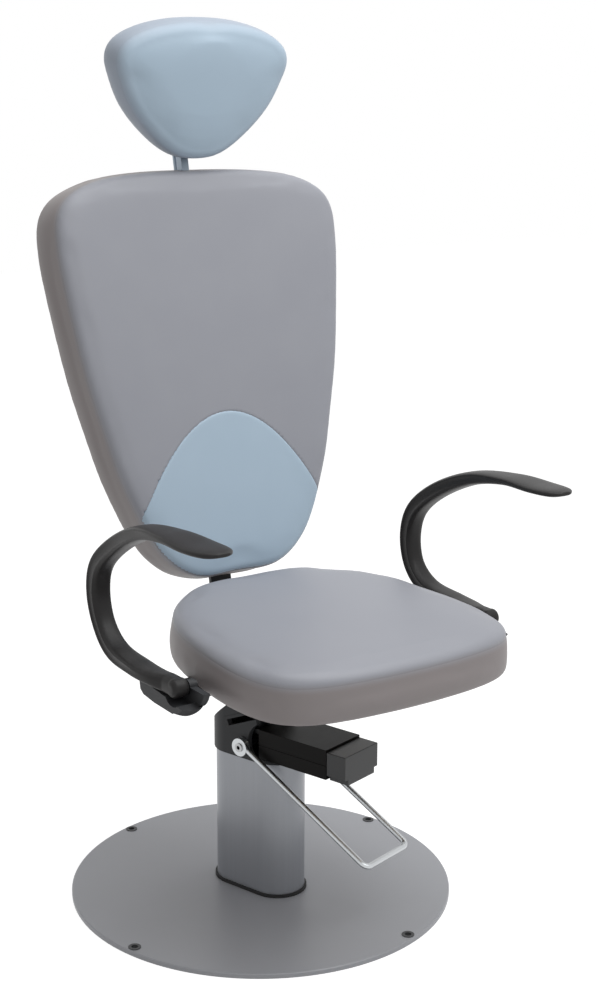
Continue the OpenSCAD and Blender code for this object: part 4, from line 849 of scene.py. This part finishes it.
def smooth_run(values, steps):
    """Smooth open curve through values, steps to a span."""
    v = np.asarray(values, float).reshape(len(values), -1)
    out = []
    for i in range(len(v) - 1):
        p0, p1, p2, p3 = v[max(i - 1, 0)], v[i], v[i + 1], v[min(i + 2, len(v) - 1)]
        for k in range(steps):
            t = k / steps
            out.append((2 * p1 + (p2 - p0) * t + (2 * p0 - 5 * p1 + 4 * p2 - p3) * t ** 2
                        + (3 * p1 - p0 - 3 * p2 + p3) * t ** 3) / 2)
    return np.array(out + [v[-1]])


def arm_mesh(name, side):
    """One armrest with its hub, as one moulding. The side is -1 for the left and 1 for the
    right."""
    steps, count, hub_count = 10, 48, 64
    path = smooth_run(arm_path * [arm_depth, arm_rise], steps)
    leans = smooth_run(arm_leans, steps)[:, 0] * arm_lean
    widths = smooth_run(arm_widths, steps)[:, 0] * arm_pad_w
    thicks = smooth_run(arm_thicks, steps)[:, 0] * arm_thick
    squares = smooth_run(arm_squares, steps)[:, 0]
    hollows = smooth_run(arm_channel, steps)[:, 0] * channel_deep
    turns = (np.arange(count) + 0.5) * 2 * math.pi / count
    rings = []
    for i in range(len(path)):
        along = path[min(i + 1, len(path) - 1)] - path[max(i - 1, 0)]
        across = np.array([-along[1], along[0]]) / np.linalg.norm(along)
        if i == 0:
            across = np.array([0.0, 1.0])
        c, s = np.cos(turns), np.sin(turns)
        x = np.sign(c) * np.abs(c) ** (2 / squares[i]) * widths[i] / 2
        y = np.sign(s) * np.abs(s) ** (2 / squares[i]) * thicks[i] / 2
        near_middle = np.exp(-(y / (channel_half * thicks[i])) ** 4)
        on_a_side = np.abs(c) > 0.3
        x -= np.sign(x) * hollows[i] * near_middle * on_a_side
        flat = path[i] + y[:, None] * across
        rings.append(np.column_stack([side * (x + leans[i] + arm_x), flat[:, 0] + arm_back,
                                      flat[:, 1] + arm_up]))
    inner = rings[0].copy()
    inner[:, 1] -= hub_tail
    arm = ring_mesh(name, [inner] + rings)
    barrel = []
    half = arm_widths[0] * arm_pad_w / 2
    for a in np.radians(np.linspace(0, 90, 6)):
        barrel.append((hub_r - hub_round * (1 - math.sin(a)),
                       -half + hub_round * (1 - math.cos(a))))
    barrel += [(r, -x) for r, x in barrel[::-1]]
    around = np.arange(hub_count) * 2 * math.pi / hub_count
    hub_rings = [np.column_stack([np.full(hub_count, side * (x + arm_x)),
                                  arm_back + r * np.cos(around),
                                  arm_up + r * np.sin(around)]) for r, x in barrel]
    hub = ring_mesh(name + "_hub", hub_rings)
    for part in (arm, hub):
        part.data.validate()
    with bpy.context.temp_override(active_object=arm, selected_editable_objects=[arm, hub],
                                   object=arm, selected_objects=[arm, hub]):
        bpy.ops.object.join()
    skin(arm, voxel=0.0018, evening=5)
    shade_smooth(arm)
    return arm


for side, body, hand in ((-1, "arm_l", "left"), (1, "arm_r", "right")):
    arm = arm_mesh("armrest_" + hand, side)
    wear(arm, black_skin, body, "arm_foam", "arm_" + hand, "arm_hub_" + hand)


# FLOOR, LIGHT AND CAMERA
# A plain white studio floor, a big soft lamp overhead, one like it further to the front, and
# the camera where the photograph was taken from.

def looked_at(tree):
    """1 where the camera, a reflection or a view through glass looks, 0 for the light's rays."""
    ray = add(tree, "ShaderNodeLightPath")
    either = add(tree, "ShaderNodeMath",
                 {0: ray.outputs["Is Camera Ray"], 1: ray.outputs["Is Glossy Ray"]},
                 operation="MAXIMUM")
    return add(tree, "ShaderNodeMath",
               {0: either.outputs[0], 1: ray.outputs["Is Transmission Ray"]},
               operation="MAXIMUM").outputs[0]


# The floor lies half a millimetre low, so that it and the plate's underside don't mix. The
# light's rays meet a pale matt paint, and the camera sees it brought up to white, with shadow.
floor_half, floor_gap = 9, 0.0005
floor_mesh = bpy.data.meshes.new("studio_floor")
floor_mesh.from_pydata([(x * floor_half, y * floor_half, 0)
                        for x, y in ((-1, -1), (1, -1), (1, 1), (-1, 1))], [], [(0, 1, 2, 3)])
studio_floor = bpy.data.objects.new("studio_floor", floor_mesh)
studio_floor.location.z = -floor_gap
bpy.context.scene.collection.objects.link(studio_floor)
floor_paint = bpy.data.materials.new("white_floor")
floor_paint.use_nodes = True
tree = floor_paint.node_tree
tree.nodes.clear()
matt = add(tree, "ShaderNodeBsdfDiffuse", {"Color": linear("e6e6e6")})
shaded = add(tree, "ShaderNodeBsdfDiffuse", {"Color": linear("a8a8a8")})
glow = add(tree, "ShaderNodeEmission", {"Color": (1, 1, 1, 1), "Strength": 0.88})
white = add(tree, "ShaderNodeAddShader", {0: shaded.outputs[0], 1: glow.outputs[0]})
mixed = add(tree, "ShaderNodeMixShader",
            {0: looked_at(tree), 1: matt.outputs[0], 2: white.outputs[0]})
add(tree, "ShaderNodeOutputMaterial", {"Surface": mixed.outputs[0]})
floor_mesh.materials.append(floor_paint)

# The room lights the chair from all sides at a low level, and the camera sees it as white.
world = bpy.data.worlds.new("studio")
bpy.context.scene.world = world
world.use_nodes = True
tree = world.node_tree
tree.nodes.clear()
room = add(tree, "ShaderNodeBackground", {"Color": linear("fffdfd"), "Strength": 0.37})
backdrop = add(tree, "ShaderNodeBackground", {"Color": (1, 1, 1, 1), "Strength": 1.0})
mixed = add(tree, "ShaderNodeMixShader",
            {0: looked_at(tree), 1: room.outputs[0], 2: backdrop.outputs[0]})
add(tree, "ShaderNodeOutputWorld", {"Surface": mixed.outputs[0]})


def hang_lamp(name, spot, aim, size, power, colour):
    """A square soft lamp at a spot, aimed at a place: its size in metres and power in watts."""
    lamp = bpy.data.lights.new(name, "AREA")
    lamp.shape = "SQUARE"
    lamp.size = size
    lamp.energy = power
    lamp.color = linear(colour)[:3]
    holder = bpy.data.objects.new(name, lamp)
    holder.location = spot
    holder.rotation_euler = (Vector(aim) - Vector(spot)).to_track_quat("-Z", "Y").to_euler()
    bpy.context.scene.collection.objects.link(holder)


hang_lamp("overhead_lamp", (0.6, -0.3, 3.55), (0, -0.1, 0.6), 2.3, 43, "fdfeff")
hang_lamp("front_lamp", (1.0, -2.1, 3.4), (0, 0, 0.8), 1.8, 41, "fdfeff")

bpy.context.scene.view_settings.view_transform = "Standard"

# The camera's place was worked out from the floor plate's ellipse, the column and the seat. Its
# focal length and centre are in pixels of a frame 1000 high and 599 wide.
frame_h, middle_x, focal_length, centre_x = 1000, 299.5, 1691.949, 273.593
azimuth, elevation = math.radians(-33.905), math.radians(13.893)
to_camera = Vector((math.sin(azimuth) * math.cos(elevation),
                    -math.cos(azimuth) * math.cos(elevation), math.sin(elevation)))
lens = bpy.data.cameras.new("photo_camera")
lens.sensor_width = 36
lens.lens = focal_length * lens.sensor_width / frame_h
lens.shift_x = (middle_x - centre_x) / frame_h
photo_camera = bpy.data.objects.new("photo_camera", lens)
photo_camera.location = (-1.482208, -2.245499, 1.349263)
photo_camera.rotation_euler = (-to_camera).to_track_quat("-Z", "Y").to_euler()
bpy.context.scene.collection.objects.link(photo_camera)
bpy.context.scene.camera = photo_camera
